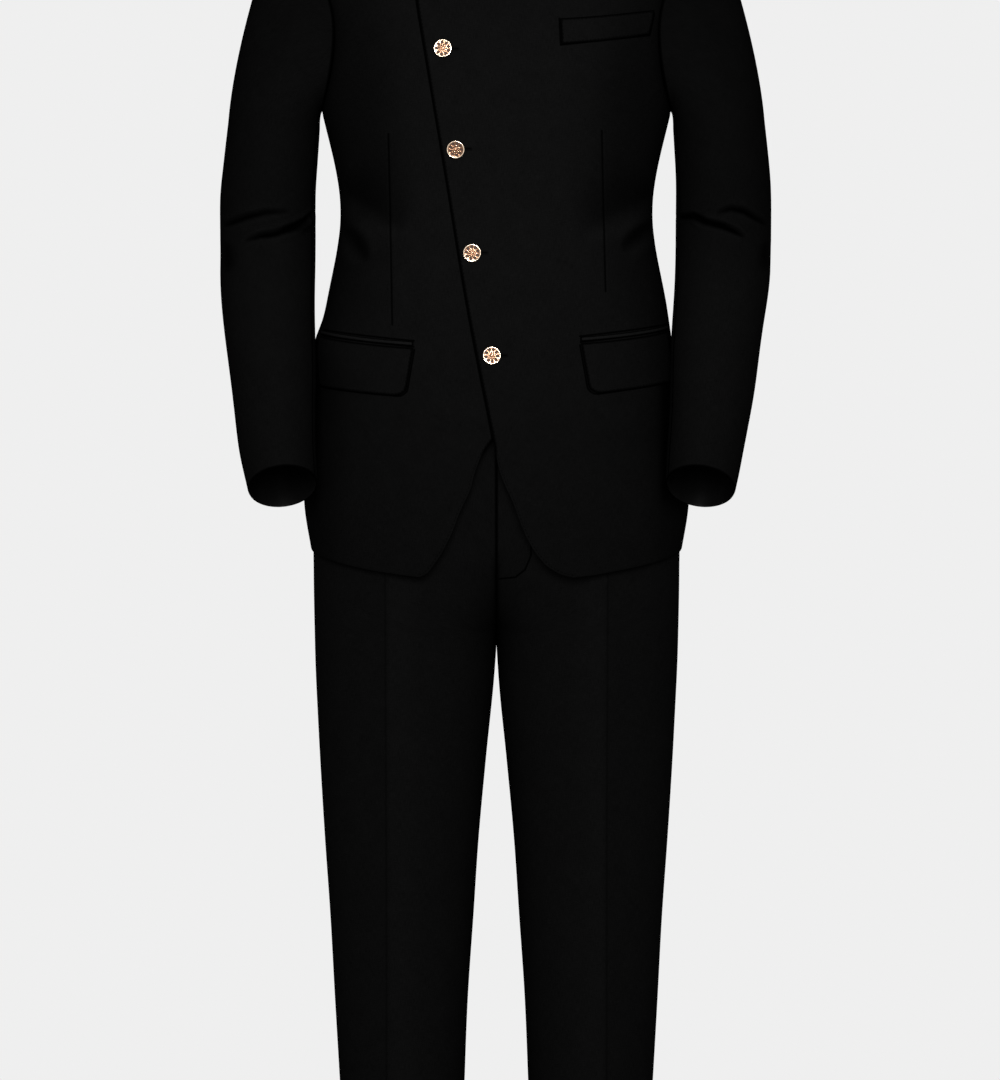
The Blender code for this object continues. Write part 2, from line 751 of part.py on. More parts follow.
def fork_blend(z, share):
    """0 where both legs are one oval, 1 where a leg is its own. The fork's seam is a quarter
    round, and away from it the cloth changes over more slowly."""
    t = min(1.0, max(0.0, (FORK_TOP_Z - z) / (FORK_TOP_Z - CROTCH_Z)))
    seam = 1 - math.sqrt(1 - t * t)
    slow = smooth_step(SEAT_Z, FORK_LOW_Z, z)
    from_seam = min(share, 1 - share) / FORK_WIDTH
    weight = math.exp(-from_seam * from_seam)
    return seam * weight + slow * (1 - weight)


def crease(share):
    ridge = 0.0
    for middle in (FRONT_CREASE_SHARE, BACK_CREASE_SHARE):
        ridge += CREASE_HEIGHT * math.exp(-((share - middle) / CREASE_WIDTH) ** 2)
    return ridge


def leg_surface(z, share):
    """A place on the left leg: share runs from the inseam over the front, 0.5 at the outside."""
    outer, inner = LEG.at("outer", z), LEG.at("inner", z)
    angle = math.tau * share
    across, outward = oval(angle, LEG_SQUARENESS)
    front = math.sin(angle) >= 0
    depth = LEG.at("front_depth" if front else "back_depth", z) + crease(share)
    leg = Vector((
        (outer + inner) / 2 - (outer - inner) / 2 * across,
        LEG.at("middle_y", z) + (-depth if front else depth) * outward,
        z,
    ))
    share = share % 1.0 if z < CROTCH_Z else share
    blend = fork_blend(z, share)
    turn = math.pi / 2 - math.pi * share
    across, outward = oval(turn, HIP_SQUARENESS)
    depth = HIPS.at("front_depth" if turn >= 0 else "back_depth", z)
    hip = Vector((
        HIPS.at("half_width", z) * across,
        (-depth if turn >= 0 else depth) * outward,
        z,
    ))
    return hip * (1 - blend) + leg * blend


def leg_normal(z, share):
    climb = leg_surface(min(z + 0.002, WAIST_Z), share) - leg_surface(z - 0.002, share)
    after = leg_surface(z, min(share + 0.003, 1.0)) if z > CROTCH_Z else leg_surface(z, share + 0.003)
    before = leg_surface(z, max(share - 0.003, 0.0)) if z > CROTCH_Z else leg_surface(z, share - 0.003)
    out = (after - before).cross(climb).normalized()
    if z > CROTCH_Z - 0.001 and share in (0.0, 1.0):
        out.x = 0.0
        out.normalize()
    return out


def leg_panel(name, side, start, end, finish):
    points, normals = [], []
    for z in LEG_ROWS + FORK_ROWS:
        row, row_out = [], []
        shares = spread(start, end, LEG_STEPS)
        for index, share in enumerate(shares):
            place = leg_surface(z, share)
            out = leg_normal(z, share)
            inseam = share in (0.0, 1.0)
            if inseam and z > CROTCH_Z:
                place.x = SEAM_GAP / 2
            elif index in (0, LEG_STEPS):
                place.y += (-1 if start == 0 else 1) * SEAM_GAP / 2
            row.append(mirrored(place, side))
            row_out.append(mirrored(out, side))
        points.append(row)
        normals.append(row_out)
    wall(name, *skins(points, normals, TROUSER_CLOTH), finish)
    return points[-1], normals[-1]


def trousers(finish):
    tops = {}
    for label, side in (("left", 1), ("right", -1)):
        tops["front", side] = leg_panel(f"trouser_front_{label}", side, 0.0, 0.5, finish)
        tops["back", side] = leg_panel(f"trouser_back_{label}", side, 0.5, 1.0, finish)
    waistband(tops, finish)


def waistband(tops, finish):
    """The band on the trousers' top edge, open at the middle of the front."""
    order = [("front", 1, False), ("back", 1, False), ("back", -1, True), ("front", -1, True)]
    base, outs = [], []
    for half, side, backwards in order:
        places, normals = tops[half, side]
        base += list(reversed(places)) if backwards else list(places)
        outs += list(reversed(normals)) if backwards else list(normals)
    rows = (0.0, 0.5, 1.0)
    outer, inner = [], []
    for share in rows:
        rise = Vector((0.0, 0.0, SEAM_GAP + WAISTBAND_HEIGHT * share))
        outer_row, inner_row = [], []
        for place, out in zip(base, outs):
            level_out = Vector((out.x, out.y, 0.0)).normalized()
            edge = place + rise - level_out * 0.004 * share
            outer_row.append(edge)
            inner_row.append(edge - level_out * WAISTBAND_CLOTH)
        outer.append(outer_row)
        inner.append(inner_row)
    wall("waistband", outer, inner, finish)


def main():
    for obj in list(bpy.data.objects):
        bpy.data.objects.remove(obj, do_unlink=True)
    wool = material("black_wool", BLACK_WOOL, 0.85, 0.0)
    metal = material("rose_gold", ROSE_GOLD, 0.3, 1.0)
    over = front_panel("jacket_front_left", 1, over_x, lap_limit_x, over_lift, wool)
    under = front_panel("jacket_front_right", -1, under_x, lap_start_x, under_lift, wool)
    back_left = back_panel("jacket_back_left", 1, wool)
    back_right = back_panel("jacket_back_right", -1, wool)
    sleeves(wool)
    collar(over[-1], back_left[-1], back_right[-1], under[-1][LAP_COLUMNS:], wool)
    fronts = {1: Front(1, over), -1: Front(-1, under)}
    pockets(fronts, wool)
    buttons(fronts[1], metal)
    trousers(wool)


main()
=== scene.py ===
"""Looks for a black two-piece suit: a jacket with a stand collar, and its trousers.

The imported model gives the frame. Every piece of cloth is made again here as a finer shell on
the same form, with its folds, rolled edges, seams, stitches and weave, and stands for its solid.
Metres, +Z up. The front faces -Y and +X is the wearer's left.
"""

import math

import bmesh
import bpy
import numpy as np
from bpy.props import (
    FloatProperty,
    FloatVectorProperty,
    IntProperty,
    PointerProperty,
)
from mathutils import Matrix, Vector, kdtree


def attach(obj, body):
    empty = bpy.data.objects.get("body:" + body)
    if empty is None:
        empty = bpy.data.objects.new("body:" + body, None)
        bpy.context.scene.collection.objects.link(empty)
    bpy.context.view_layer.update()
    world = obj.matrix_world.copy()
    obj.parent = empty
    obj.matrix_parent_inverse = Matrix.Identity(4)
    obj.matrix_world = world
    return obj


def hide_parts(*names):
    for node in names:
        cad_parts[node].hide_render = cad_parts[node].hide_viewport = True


bl_info = {
    "name": "Stand Collar Suit",
    "version": (1, 0, 0),
    "blender": (4, 5, 0),
    "location": "View3D > Sidebar > Suit",
    "description": "Builds the cloth, the buttons and the studio round a packed suit",
    "category": "Object",
}

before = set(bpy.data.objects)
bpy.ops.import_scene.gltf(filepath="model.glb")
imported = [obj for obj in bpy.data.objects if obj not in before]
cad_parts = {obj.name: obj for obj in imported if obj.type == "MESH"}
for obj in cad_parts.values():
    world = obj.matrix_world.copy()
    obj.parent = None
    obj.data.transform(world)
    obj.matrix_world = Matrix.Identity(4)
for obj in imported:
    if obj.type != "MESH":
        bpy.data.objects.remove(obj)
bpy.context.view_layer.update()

# Cloth and seams
JACKET_CLOTH = 0.0019
TROUSER_CLOTH = 0.0016
COLLAR_CLOTH = 0.0026
SEAM_GAP = -0.0002          # the edges of sewn pieces meet in the seam
LAP_LIFT = JACKET_CLOTH + 0.0005
NECK_LAP_EXTRA = 0.0011
PROUD_GAP = 0.0007
EDGE_STEPS = (0.0, 0.0006, 0.0013, 0.0024, 0.0045)   # columns and rows close to a piece's edge
ALL_SIDES = ("start", "end", "low", "high")
SIDES = (("left", 1), ("right", -1))
ROLL_REACH = 0.0026         # how far in from its edge a piece's rolled edge starts
INNER_ROLL = 0.35           # the inner face's share of that roll
BORDER_STEP = 0.0005        # spacing of the points that stand for a piece's edge
LEAST_FLAT = 0.0105         # the least flat size counted for a piece
LEAST_AREA = 0.31           # the least share of its flat rectangle counted for a piece's area
OPEN_EDGE_LIGHT = 0.0025    # added to the way from the edge where the fronts part, so less seam shade is painted there

# The jacket, level by level: "up" runs along the side from the hem to the armpit, up the
# armhole to the shoulder point and in along the shoulder seam to the neck
JACKET_COLUMNS = ("up", "side_z", "front_z", "back_z", "half_width", "front_depth", "back_depth", "squareness")
JACKET_LEVELS = (
    (0.000, -0.718, -0.741, -0.733, 0.1980, 0.126, 0.123, 2.25),
    (0.044, -0.674, -0.693, -0.687, 0.2050, 0.129, 0.128, 2.25),
    (0.158, -0.560, -0.573, -0.568, 0.1960, 0.124, 0.120, 2.25),
    (0.254, -0.464, -0.474, -0.466, 0.1825, 0.117, 0.110, 2.25),
    (0.363, -0.355, -0.363, -0.352, 0.1660, 0.116, 0.105, 2.25),
    (0.467, -0.251, -0.258, -0.243, 0.1855, 0.127, 0.116, 2.30),
    (0.553, -0.165, -0.190, -0.155, 0.2080, 0.127, 0.118, 2.35),
    (0.628, -0.090, -0.152, -0.108, 0.2160, 0.117, 0.109, 2.30),
    (0.689, -0.029, -0.118, -0.068, 0.2220, 0.104, 0.096, 2.20),
    (0.765, -0.003, -0.084, -0.018, 0.1450, 0.085, 0.077, 2.10),
    (0.852, 0.025, -0.048, 0.036, 0.0680, 0.062, 0.055, 2.00),
)
ARMPIT_UP = 0.467
SHOULDER_UP = 0.689
NECK_UP = 0.852
ARM_STEPS = 9
ARMHOLE_FRONT = math.radians(39.5)
ARMHOLE_BACK = math.radians(37)
ARMHOLE_MIDDLE = np.array((0.200, 0.0, -0.145))
FRONT_DEPTH = 0.12          # about a front's depth, which turns an angle on it to a way along it
HIP_FILL, HIP_FILL_X, HIP_FILL_Z, HIP_FILL_REACH = 0.0066, (0.125, 0.178), -0.500, 0.024
HOLLOW_DEPTH, HOLLOW_X, HOLLOW_Z = 0.0060, 0.134, -0.250        # the hollow below each arm
# its width, height and slant, and how much shade is painted in it
HOLLOW_WIDTH, HOLLOW_HEIGHT, HOLLOW_SLANT, HOLLOW_PAINTED_SHADE = 0.036, 0.110, 0.30, 0.20

EDGE_COLUMNS = ("z", "x")
OVER_EDGE = (
    (-0.745, 0.110), (-0.7385, 0.086), (-0.7350, 0.071), (-0.7280, 0.057), (-0.7160, 0.045),
    (-0.6930, 0.031), (-0.6560, 0.0165), (-0.6300, 0.0050), (-0.5890, -0.0036),
    (-0.4480, -0.0312), (-0.3230, -0.0515), (-0.1985, -0.0722), (-0.1363, -0.0825),
    (-0.0900, -0.0880), (-0.0500, -0.0830), (-0.0050, -0.0640), (0.0300, -0.0500),
)
UNDER_EDGE = (
    (-0.745, -0.104), (-0.7385, -0.084), (-0.7350, -0.076), (-0.7240, -0.066), (-0.6970, -0.050),
    (-0.6650, -0.037), (-0.6450, -0.0277), (-0.6260, -0.0224), (-0.6080, -0.0151),
    (-0.5890, -0.0020), (-0.5500, 0.0200), (-0.4480, 0.0300), (-0.1985, -0.0080),
    (-0.0900, -0.0200), (-0.0300, -0.0150), (0.0300, -0.0050),
)
LEAST_LAP = 0.008
LAP_EASE = 0.060

# The sleeve, from the armpit down: the arm's middle line and its half sizes
SLEEVE_COLUMNS = ("down", "x", "y", "z", "half_width", "half_depth")
SLEEVE_LEVELS = (
    (0.000, 0.2365, 0.002, -0.266, 0.0488, 0.0660),
    (0.045, 0.2405, 0.004, -0.311, 0.0500, 0.0640),
    (0.085, 0.2430, 0.006, -0.351, 0.0508, 0.0635),
    (0.120, 0.2430, 0.002, -0.386, 0.0508, 0.0630),
    (0.165, 0.2410, -0.019, -0.428, 0.0504, 0.0600),
    (0.215, 0.2375, -0.042, -0.472, 0.0485, 0.0585),
    (0.265, 0.2335, -0.065, -0.516, 0.0460, 0.0570),
    (0.315, 0.2290, -0.088, -0.560, 0.0430, 0.0555),
    (0.365, 0.2240, -0.111, -0.604, 0.0400, 0.0540),
    (0.410, 0.2185, -0.131, -0.641, 0.0365, 0.0525),
)
SLEEVE_LENGTH = 0.410
SLEEVE_SWING = {1: -0.0050, -1: 0.0050}
CAP_RISE = 1.12
CAP_REACH = 0.085
UNDERARM_RISE = 0.25
UNDERARM_TUCK = 0.0010
FOREARM_X = {1: 0.1785, -1: 0.1934}     # where each forearm hides the front of the jacket
SLEEVE_SHADE = {1: 0.30, -1: 0.22}      # how much shade is painted on the upper arm of each sleeve
STEP_WIDTH = 0.02                       # about the way round an armhole in one step
FRONT_SEAM_STEP = 1
BACK_SEAM_STEP = 12

# Pockets on the wearer's left, 1, and right, -1, as corners in x and z, with x out from the middle
FLAPS = {
    1: ((0.0975, -0.5455), (0.1865, -0.5350), (0.0883, -0.4921), (0.1800, -0.4831)),
    -1: ((0.0952, -0.5477), (0.1865, -0.5410), (0.0868, -0.4969), (0.1800, -0.4889)),
}
JETS = {
    1: ((0.0875, -0.4900), (0.1800, -0.4810), (0.0875, -0.4855), (0.1800, -0.4765)),
    -1: ((0.0866, -0.4948), (0.1800, -0.4868), (0.0866, -0.4903), (0.1800, -0.4823)),
}
WELT = ((0.0676, -0.1800), (0.1600, -0.1700), (0.0663, -0.1535), (0.1650, -0.1445))
POCKET_CLOTH = 0.0016
JET_CLOTH = 0.0011
FLAP_ROUND = 0.009

COLLAR_HEIGHT = 0.042
COLLAR_LEAN = 0.004
COLLAR_ROUND = 0.014
COLLAR_TUCK = 0.0016

BUTTON_HEIGHTS = (-0.0780, -0.1847, -0.2886, -0.3970, -0.5043)
BUTTON_SHIFTS = (0.0, 0.0038, -0.0002, -0.0008, 0.0004)
BUTTON_INSET = 0.0155

# The trousers above the crotch, as half ovals round both legs, and each leg
HIP_COLUMNS = ("z", "half_width", "front_depth", "back_depth")
HIP_LEVELS = (
    (-0.960, 0.1930, 0.108, 0.120),
    (-0.860, 0.1950, 0.111, 0.122),
    (-0.799, 0.1950, 0.112, 0.121),
    (-0.740, 0.1955, 0.112, 0.116),
    (-0.715, 0.1956, 0.112, 0.115),
    (-0.680, 0.1920, 0.111, 0.113),
    (-0.620, 0.1770, 0.108, 0.109),
    (-0.579, 0.1640, 0.105, 0.103),
    (-0.540, 0.1570, 0.102, 0.098),
)
WAIST_Z = -0.579
FORK_TOP_Z = -0.640
SEAT_Z = -0.700
FORK_LOW_Z = -0.900
FORK_WIDTH = 0.075
CROTCH_Z = -0.799
HEM_Z = -1.600
HIP_SQUARENESS = 2.2
LEG_COLUMNS = ("z", "outer", "inner", "front_depth", "back_depth", "middle_y")
LEG_LEVELS = (
    (-1.600, 0.1520, 0.0420, 0.0660, 0.0680, -0.004),
    (-1.450, 0.1600, 0.0385, 0.0680, 0.0700, -0.003),
    (-1.285, 0.1690, 0.0337, 0.0700, 0.0730, -0.002),
    (-1.201, 0.1739, 0.0305, 0.0715, 0.0750, 0.000),
    (-1.115, 0.1787, 0.0250, 0.0735, 0.0780, 0.002),
    (-1.029, 0.1846, 0.0193, 0.0785, 0.0840, 0.004),
    (-0.944, 0.1894, 0.0112, 0.0850, 0.0930, 0.005),
    (-0.861, 0.1930, 0.0026, 0.0930, 0.1040, 0.006),
    (-0.799, 0.1950, -0.0014, 0.1000, 0.1130, 0.006),
)
LEG_SQUARENESS = 2.05
CREASE_X = 0.1165
CREASE_SHARE = 0.27
RIDGE_RISE, RIDGE_WIDTH = 0.0020, 0.018     # the soft rise beside the crease, and its sharp top
CREST_RISE, CREST_WIDTH = 0.0021, 0.0060
WAISTBAND_HEIGHT = 0.038
WAISTBAND_CLOTH = 0.0022
WAISTBAND_LEAN = 0.004

# Folds drawn as lines in x and z on the front of the cloth. After each line: the width and
# depth of its trough, the height of the soft rolls beside it, how many widths the trough runs
# upwards, and how much shade is painted in it
SLEEVE_FOLDS = {
    -1: (
        (((-0.291, -0.372), (-0.283, -0.369), (-0.264, -0.362), (-0.243, -0.357), (-0.218, -0.356)),
         0.0030, 0.0026, 0.0012, 1.5, 0.95),
        (((-0.266, -0.386), (-0.250, -0.381), (-0.233, -0.379), (-0.212, -0.372), (-0.202, -0.366), (-0.191, -0.355)),
         0.0028, 0.0038, 0.0020, 1.5, 1.30),
        (((-0.226, -0.374), (-0.206, -0.374), (-0.190, -0.374)), 0.0060, 0.0014, 0.0, 1.5, 0.60),
        (((-0.289, -0.388), (-0.287, -0.420)), 0.0065, 0.0022, 0.0, 1.5, 0.70),
    ),
    1: (
        (((0.189, -0.364), (0.208, -0.361), (0.219, -0.367), (0.238, -0.371), (0.253, -0.377), (0.262, -0.382)),
         0.0028, 0.0038, 0.0020, 1.5, 1.30),
        (((0.189, -0.362), (0.206, -0.364), (0.222, -0.362)), 0.0060, 0.0012, 0.0, 1.5, 0.45),
        (((0.232, -0.357), (0.248, -0.353), (0.262, -0.356), (0.276, -0.364), (0.288, -0.371)),
         0.0030, 0.0026, 0.0012, 1.5, 0.95),
        (((0.288, -0.388), (0.286, -0.420)), 0.0065, 0.0020, 0.0, 1.5, 0.60),
    ),
}
BODY_FOLDS = (
    # the hollow below each arm ends on a slanted edge at the waist, over a short trough
    (((-0.168, -0.330), (-0.140, -0.347), (-0.099, -0.372)), 0.0095, 0.0046, 0.0022, 4.5, 0.42),
    (((-0.162, -0.374), (-0.151, -0.388), (-0.139, -0.406)), 0.0070, 0.0042, 0.0020, 1.5, 0.60),
    (((0.090, -0.374), (0.130, -0.352), (0.170, -0.336)), 0.0095, 0.0046, 0.0022, 4.5, 0.40),
    (((0.134, -0.394), (0.150, -0.382), (0.166, -0.371)), 0.0060, 0.0042, 0.0020, 1.5, 0.60),
)
BACK_FOLDS = (
    (((-0.150, -0.330), (-0.075, -0.352), (-0.012, -0.345)), 0.0140, 0.0022, 0.0014, 1.5, 0.20),
    (((0.150, -0.334), (0.080, -0.356), (0.012, -0.349)), 0.0140, 0.0022, 0.0014, 1.5, 0.20),
)
# Dart seams in the fronts, and the stitching that turns round the foot of the fly
DARTS = (((-0.1132, -0.2734), (-0.1094, -0.4730)), ((0.1103, -0.2703), (0.1147, -0.4385)))
# The shadow round a flap's low inner corner, from that corner, and the one round the welt
FLAP_TURN = ((-0.0022, 0.0080), (-0.0010, 0.0050), (0.0022, 0.0021), (0.0055, 0.0005), (0.0092, 0.0002))
WELT_LINE = ((0.0656, -0.1535), (0.0669, -0.1807), (0.1604, -0.1708), (0.1654, -0.1480))
FLY_STITCH = (
    (0.0355, -0.640), (0.0365, -0.700), (0.0362, -0.716), (0.0300, -0.731), (0.0200, -0.7395), (0.0030, -0.7420),
)

# The painted shades that folds, arms and seams throw, and the marks on the cloth
SIDE_SHADE = 0.30           # at the sides of the fronts
CHEST_SHADE, CHEST_SHADE_WIDTH = 0.55, 0.0065       # beside the armholes
WAIST_SHADE, WAIST_SHADE_WIDTH = 0.22, 0.0100
FOREARM_SHADE, FOREARM_SHADE_WIDTH = 0.85, 0.0065   # along the edges of the forearms
HOLE_SHIFT, HOLE_LENGTH = 0.0005, 0.0146
LAP_LINE_Z, LAP_LINE_SHIFT = (-0.610, -0.070), 0.0008
# strength of the painted shade in seams, of the painted shading, of the painted shade in dart grooves, and how dark
# the edge stitches are
SEAM_PAINTED_SHADE, PAINTED_SHADING_STRENGTH, GROOVE_PAINTED_SHADE, STITCH_DARK = 0.94, 0.85, 0.80, 0.45
THREAD_ACROSS, THREAD_ALONG = 1500.0, 130.0         # threads' noise in each metre
GIMP_PITCH = 0.0005
LINING_RIB = 0.0009
SHARP_ANGLE = math.radians(55)

# The stage
KEY_PLACE = (0.0, -3.5, 0.45)
BACK_PLACE = (0.0, 3.3, 1.30)
LIGHT_AIM = (0.0, 0.0, -0.62)
LIGHT_SIZE = 1.5
CHEST_LIGHT_PLACE = (0.0, -4.6, 0.60)
CHEST_LIGHT_AIM = (0.0, 0.0, -0.33)
CHEST_BEAM = 8.5            # degrees
CAMERA_PLACE = (0.003745, -5.977168, -0.185406)
CAMERA_TILT = 85            # degrees
FLOOR_RADIUS = 30.0
FLOOR_DROP = 0.0015
FLOOR_LIT, FLOOR_UNLIT = 0.45, 1.40     # the lit floor fades out between these ways from the middle


class Profile:
    """The named columns of a table, read at any key by smooth curves between its rows."""

    def __init__(self, names, rows):
        table = np.array(sorted(rows))
        self.keys = table[:, 0]
        self.values = {name: table[:, index] for index, name in enumerate(names[1:], start=1)}
        self.slopes = {name: np.gradient(column, self.keys) for name, column in self.values.items()}

    def at(self, name, key):
        key = np.asarray(key, float)
        index = np.clip(np.searchsorted(self.keys, key) - 1, 0, len(self.keys) - 2)
        span = self.keys[index + 1] - self.keys[index]
        t = (key - self.keys[index]) / span
        values, slopes = self.values[name], self.slopes[name]
        return (
            values[index] * (1 + 2 * t) * (1 - t) ** 2
            + values[index + 1] * t * t * (3 - 2 * t)
            + slopes[index] * span * t * (1 - t) ** 2
            - slopes[index + 1] * span * t * t * (1 - t)
        )


JACKET = Profile(JACKET_COLUMNS, JACKET_LEVELS)
OVER = Profile(EDGE_COLUMNS, OVER_EDGE)
UNDER = Profile(EDGE_COLUMNS, UNDER_EDGE)
SLEEVE = Profile(SLEEVE_COLUMNS, SLEEVE_LEVELS)
HIPS = Profile(HIP_COLUMNS, HIP_LEVELS)
LEG = Profile(LEG_COLUMNS, LEG_LEVELS)


def ease(low, high, value):
    t = np.clip((value - low) / (high - low), 0.0, 1.0)
    return t * t * (3 - 2 * t)


def unit(vectors):
    return vectors / np.maximum(np.linalg.norm(vectors, axis=-1, keepdims=True), 1e-12)


def dot(a, b):
    return np.sum(a * b, axis=-1)


def mirrored(points, side):
    return points * np.array((side, 1.0, 1.0))


def oval(turn, square):
    """Across and outward shares of a rounded oval, from 0 at the side to 90 degrees in front."""
    across, outward = np.cos(turn), np.abs(np.sin(turn))
    size = (np.abs(across) ** square + outward ** square) ** (1 / square)
    return across / size, outward / size


def shares(length, count):
    """Even shares from 0 to 1 with the close steps of a rolled edge at both ends."""
    close = np.array(EDGE_STEPS) / length
    inner = np.linspace(close[-1] + 1.2 / count, 1 - close[-1] - 1.2 / count, count)
    return np.concatenate([close, inner, 1 - close[::-1]])


def nearest_on_lines(x, z, line):
    """Distance from points to a line of straight pieces, the signed height above it, and how
    far along it, from 0 to 1, the nearest place lies."""
    best = np.full(np.shape(x), 1e9)
    above = np.zeros_like(best)
    along = np.zeros_like(best)
    pieces = list(zip(line, line[1:]))
    for index, ((ax, az), (bx, bz)) in enumerate(pieces):
        dx, dz = bx - ax, bz - az
        share = np.clip(((x - ax) * dx + (z - az) * dz) / (dx * dx + dz * dz), 0.0, 1.0)
        off_x, off_z = x - ax - dx * share, z - az - dz * share
        far = np.hypot(off_x, off_z)
        closer = far < best
        best = np.where(closer, far, best)
        above = np.where(closer, off_z, above)
        along = np.where(closer, (index + share) / len(pieces), along)
    return best, above, along


def folded(x, z, folds):
    """How far drawn folds move the cloth outwards, and the shading painted there: painted shade,
    1 deep in a trough, and painted highlight, under 0, on the rolls beside it."""
    move, painted_shading = np.zeros(np.shape(x)), np.zeros(np.shape(x))
    for line, width, depth, roll, upwards, dark in folds:
        far, above, along = nearest_on_lines(x, z, line)
        fade = np.clip(4 * along * (1 - along), 0.0, 1.0) ** 0.5 * 0.95 + 0.05
        signed = np.where(above >= 0, far / upwards, -far) / (width * (0.4 + 0.6 * fade))
        trough = np.exp(-signed * signed)
        tight = np.exp(-(np.where(signed > 0, signed / 0.85, signed / 0.75)) ** 2)
        lift = np.exp(-((np.abs(signed) * np.where(signed > 0, upwards, 1.0) - 2.2) / 1.2) ** 2)
        lift = lift * np.where(signed > 0, 1.0 if upwards < 2 else 0.0, 1.0)
        move += fade * (roll * lift - depth * trough)
        # painted shade deep in the trough, painted highlight on the rolls beside it
        painted_shading += fade * (dark * tight - 80 * roll * lift)
    return move, np.minimum(painted_shading, 1.1)


# The jacket's form


def jacket_surface(up, turn):
    """Places on the jacket: turn is 0 at the side, 90 degrees in front and -90 behind."""
    up, turn = np.broadcast_arrays(up, turn)
    front = np.sin(turn) >= 0
    across, outward = oval(turn, JACKET.at("squareness", up))
    depth = np.where(front, JACKET.at("front_depth", up), JACKET.at("back_depth", up))
    far_z = np.where(front, JACKET.at("front_z", up), JACKET.at("back_z", up))
    side_share = np.cos(turn) ** 2
    return np.stack([
        JACKET.at("half_width", up) * across,
        np.where(front, -depth, depth) * outward,
        JACKET.at("side_z", up) * side_share + far_z * (1 - side_share),
    ], axis=-1)


def jacket_normal(up, turn):
    climb = jacket_surface(up + 0.0005, turn) - jacket_surface(up - 0.0005, turn)
    turned = jacket_surface(up, turn + 0.002) - jacket_surface(up, turn - 0.002)
    return unit(np.cross(climb, turned))


def turn_where(up, side, edge_x):
    """The turn at which one half's levels meet an edge line on the front."""
    square = JACKET.at("squareness", up)
    half = JACKET.at("half_width", up)
    turn = np.full(np.shape(up), math.pi / 2)
    for _ in range(14):
        share = np.clip(side * edge_x(jacket_surface(up, turn)[..., 2]) / half, -0.999, 0.999)
        turn = np.arctan2((1 - np.abs(share) ** square) ** (1 / square), share)
    return turn


def over_x(z):
    return OVER.at("x", z)


def under_x(z):
    return UNDER.at("x", z)


def lap_start_x(z):
    return np.minimum(over_x(z), under_x(z) - LEAST_LAP)


def over_lift(place):
    """The over front rides on the under front, and eases back to it past the lap."""
    limit = np.maximum(under_x(place[..., 2]), over_x(place[..., 2]) + LEAST_LAP)
    lift = LAP_LIFT + NECK_LAP_EXTRA * ease(-0.090, -0.020, place[..., 2])
    return lift * (1 - ease(limit, limit + LAP_EASE, place[..., 0]))


def arm_share(step):
    return (1 - np.cos(np.pi * step / ARM_STEPS)) / 2


def body_levels():
    """Levels of the body's panels from hem to neck, and the armhole step of each, or -1."""
    low = np.concatenate([EDGE_STEPS, np.linspace(0.010, ARMPIT_UP - 0.005, 92)])
    steps = np.linspace(0, ARM_STEPS, 58)
    middle = ARMPIT_UP + (SHOULDER_UP - ARMPIT_UP) * arm_share(steps)
    high = np.concatenate([
        np.linspace(SHOULDER_UP + 0.0045, NECK_UP - 0.009, 30),
        NECK_UP - np.array(EDGE_STEPS[::-1]),
    ])
    levels = np.concatenate([low, middle, high])
    arm = np.concatenate([np.full(len(low), -1.0), steps, np.full(len(high), -1.0)])
    return levels, arm


def side_limit(up, arm, front):
    """The turn at which a panel stops, in the seam of its side, armhole or shoulder."""
    depth = JACKET.at("front_depth" if front else "back_depth", up)
    reach = ARMHOLE_FRONT if front else ARMHOLE_BACK
    bulge = np.where(arm >= 0, reach * np.sin(np.pi * arm / ARM_STEPS), 0.0)
    return bulge + SEAM_GAP / 2 / depth


def front_drape(place):
    """How far the worn cloth moves outwards on the front of the body, and the shading painted on it."""
    x, z = place[..., 0], place[..., 2]
    move, painted_shading = folded(x, z, BODY_FOLDS)
    for side in (-1, 1):
        across = (x - side * HOLLOW_X) / HOLLOW_WIDTH
        along = (z - HOLLOW_Z - HOLLOW_SLANT * (side * x - HOLLOW_X)) / HOLLOW_HEIGHT
        hollow = np.exp(-across * across - along * along)
        move = move - HOLLOW_DEPTH * hollow
        # painted shade in the hollow
        painted_shading = painted_shading + HOLLOW_PAINTED_SHADE * hollow
    # painted shade where the fronts turn away at their sides, and on the skirts beside the forearms
    beside = ease(0.090, 0.165, np.abs(x)) * ease(-0.540, -0.380, z) * SIDE_SHADE
    skirt = ease(0.150, 0.190, np.abs(x)) * (1 - ease(-0.540, -0.450, z)) * SIDE_SHADE
    ripple = 0.0005 * np.sin(38 * z + 9 * x) * np.sin(21 * x - 14 * z + 1.3)
    return move + ripple, np.clip(painted_shading + beside + skirt, -0.4, 1.0)


def hip_fill(place):
    """How far the cloth stands out over the wearer's right hip."""
    high = np.exp(-(((place[..., 2] - HIP_FILL_Z) / HIP_FILL_REACH) ** 2))
    return HIP_FILL * high * ease(*HIP_FILL_X, -place[..., 0])


def front_cloth(side, up, turn):
    """Outer places of a front, its smooth normals, and the shading painted there."""
    place = mirrored(jacket_surface(up, turn), side)
    out = mirrored(jacket_normal(up, turn), side)
    lift = over_lift(place) if side > 0 else 0.0
    keep = ease(0.0, 0.35, turn) * (1 - ease(-0.120, -0.070, place[..., 2]))
    move, painted_shading = front_drape(place)
    return place + out * np.asarray(lift + move * keep + hip_fill(place))[..., None], out, painted_shading


def spot(x, z):
    """The level and turn of an x and z on a front, with x measured towards its own side."""
    x, z = np.asarray(x, float), np.asarray(z, float)
    up = z - JACKET_LEVELS[0][1]
    for _ in range(24):
        turn = turn_where(up, 1, lambda _: x)
        up = up + 0.8 * (z - jacket_surface(up, turn)[..., 2])
    return up, turn


# The sleeves' form


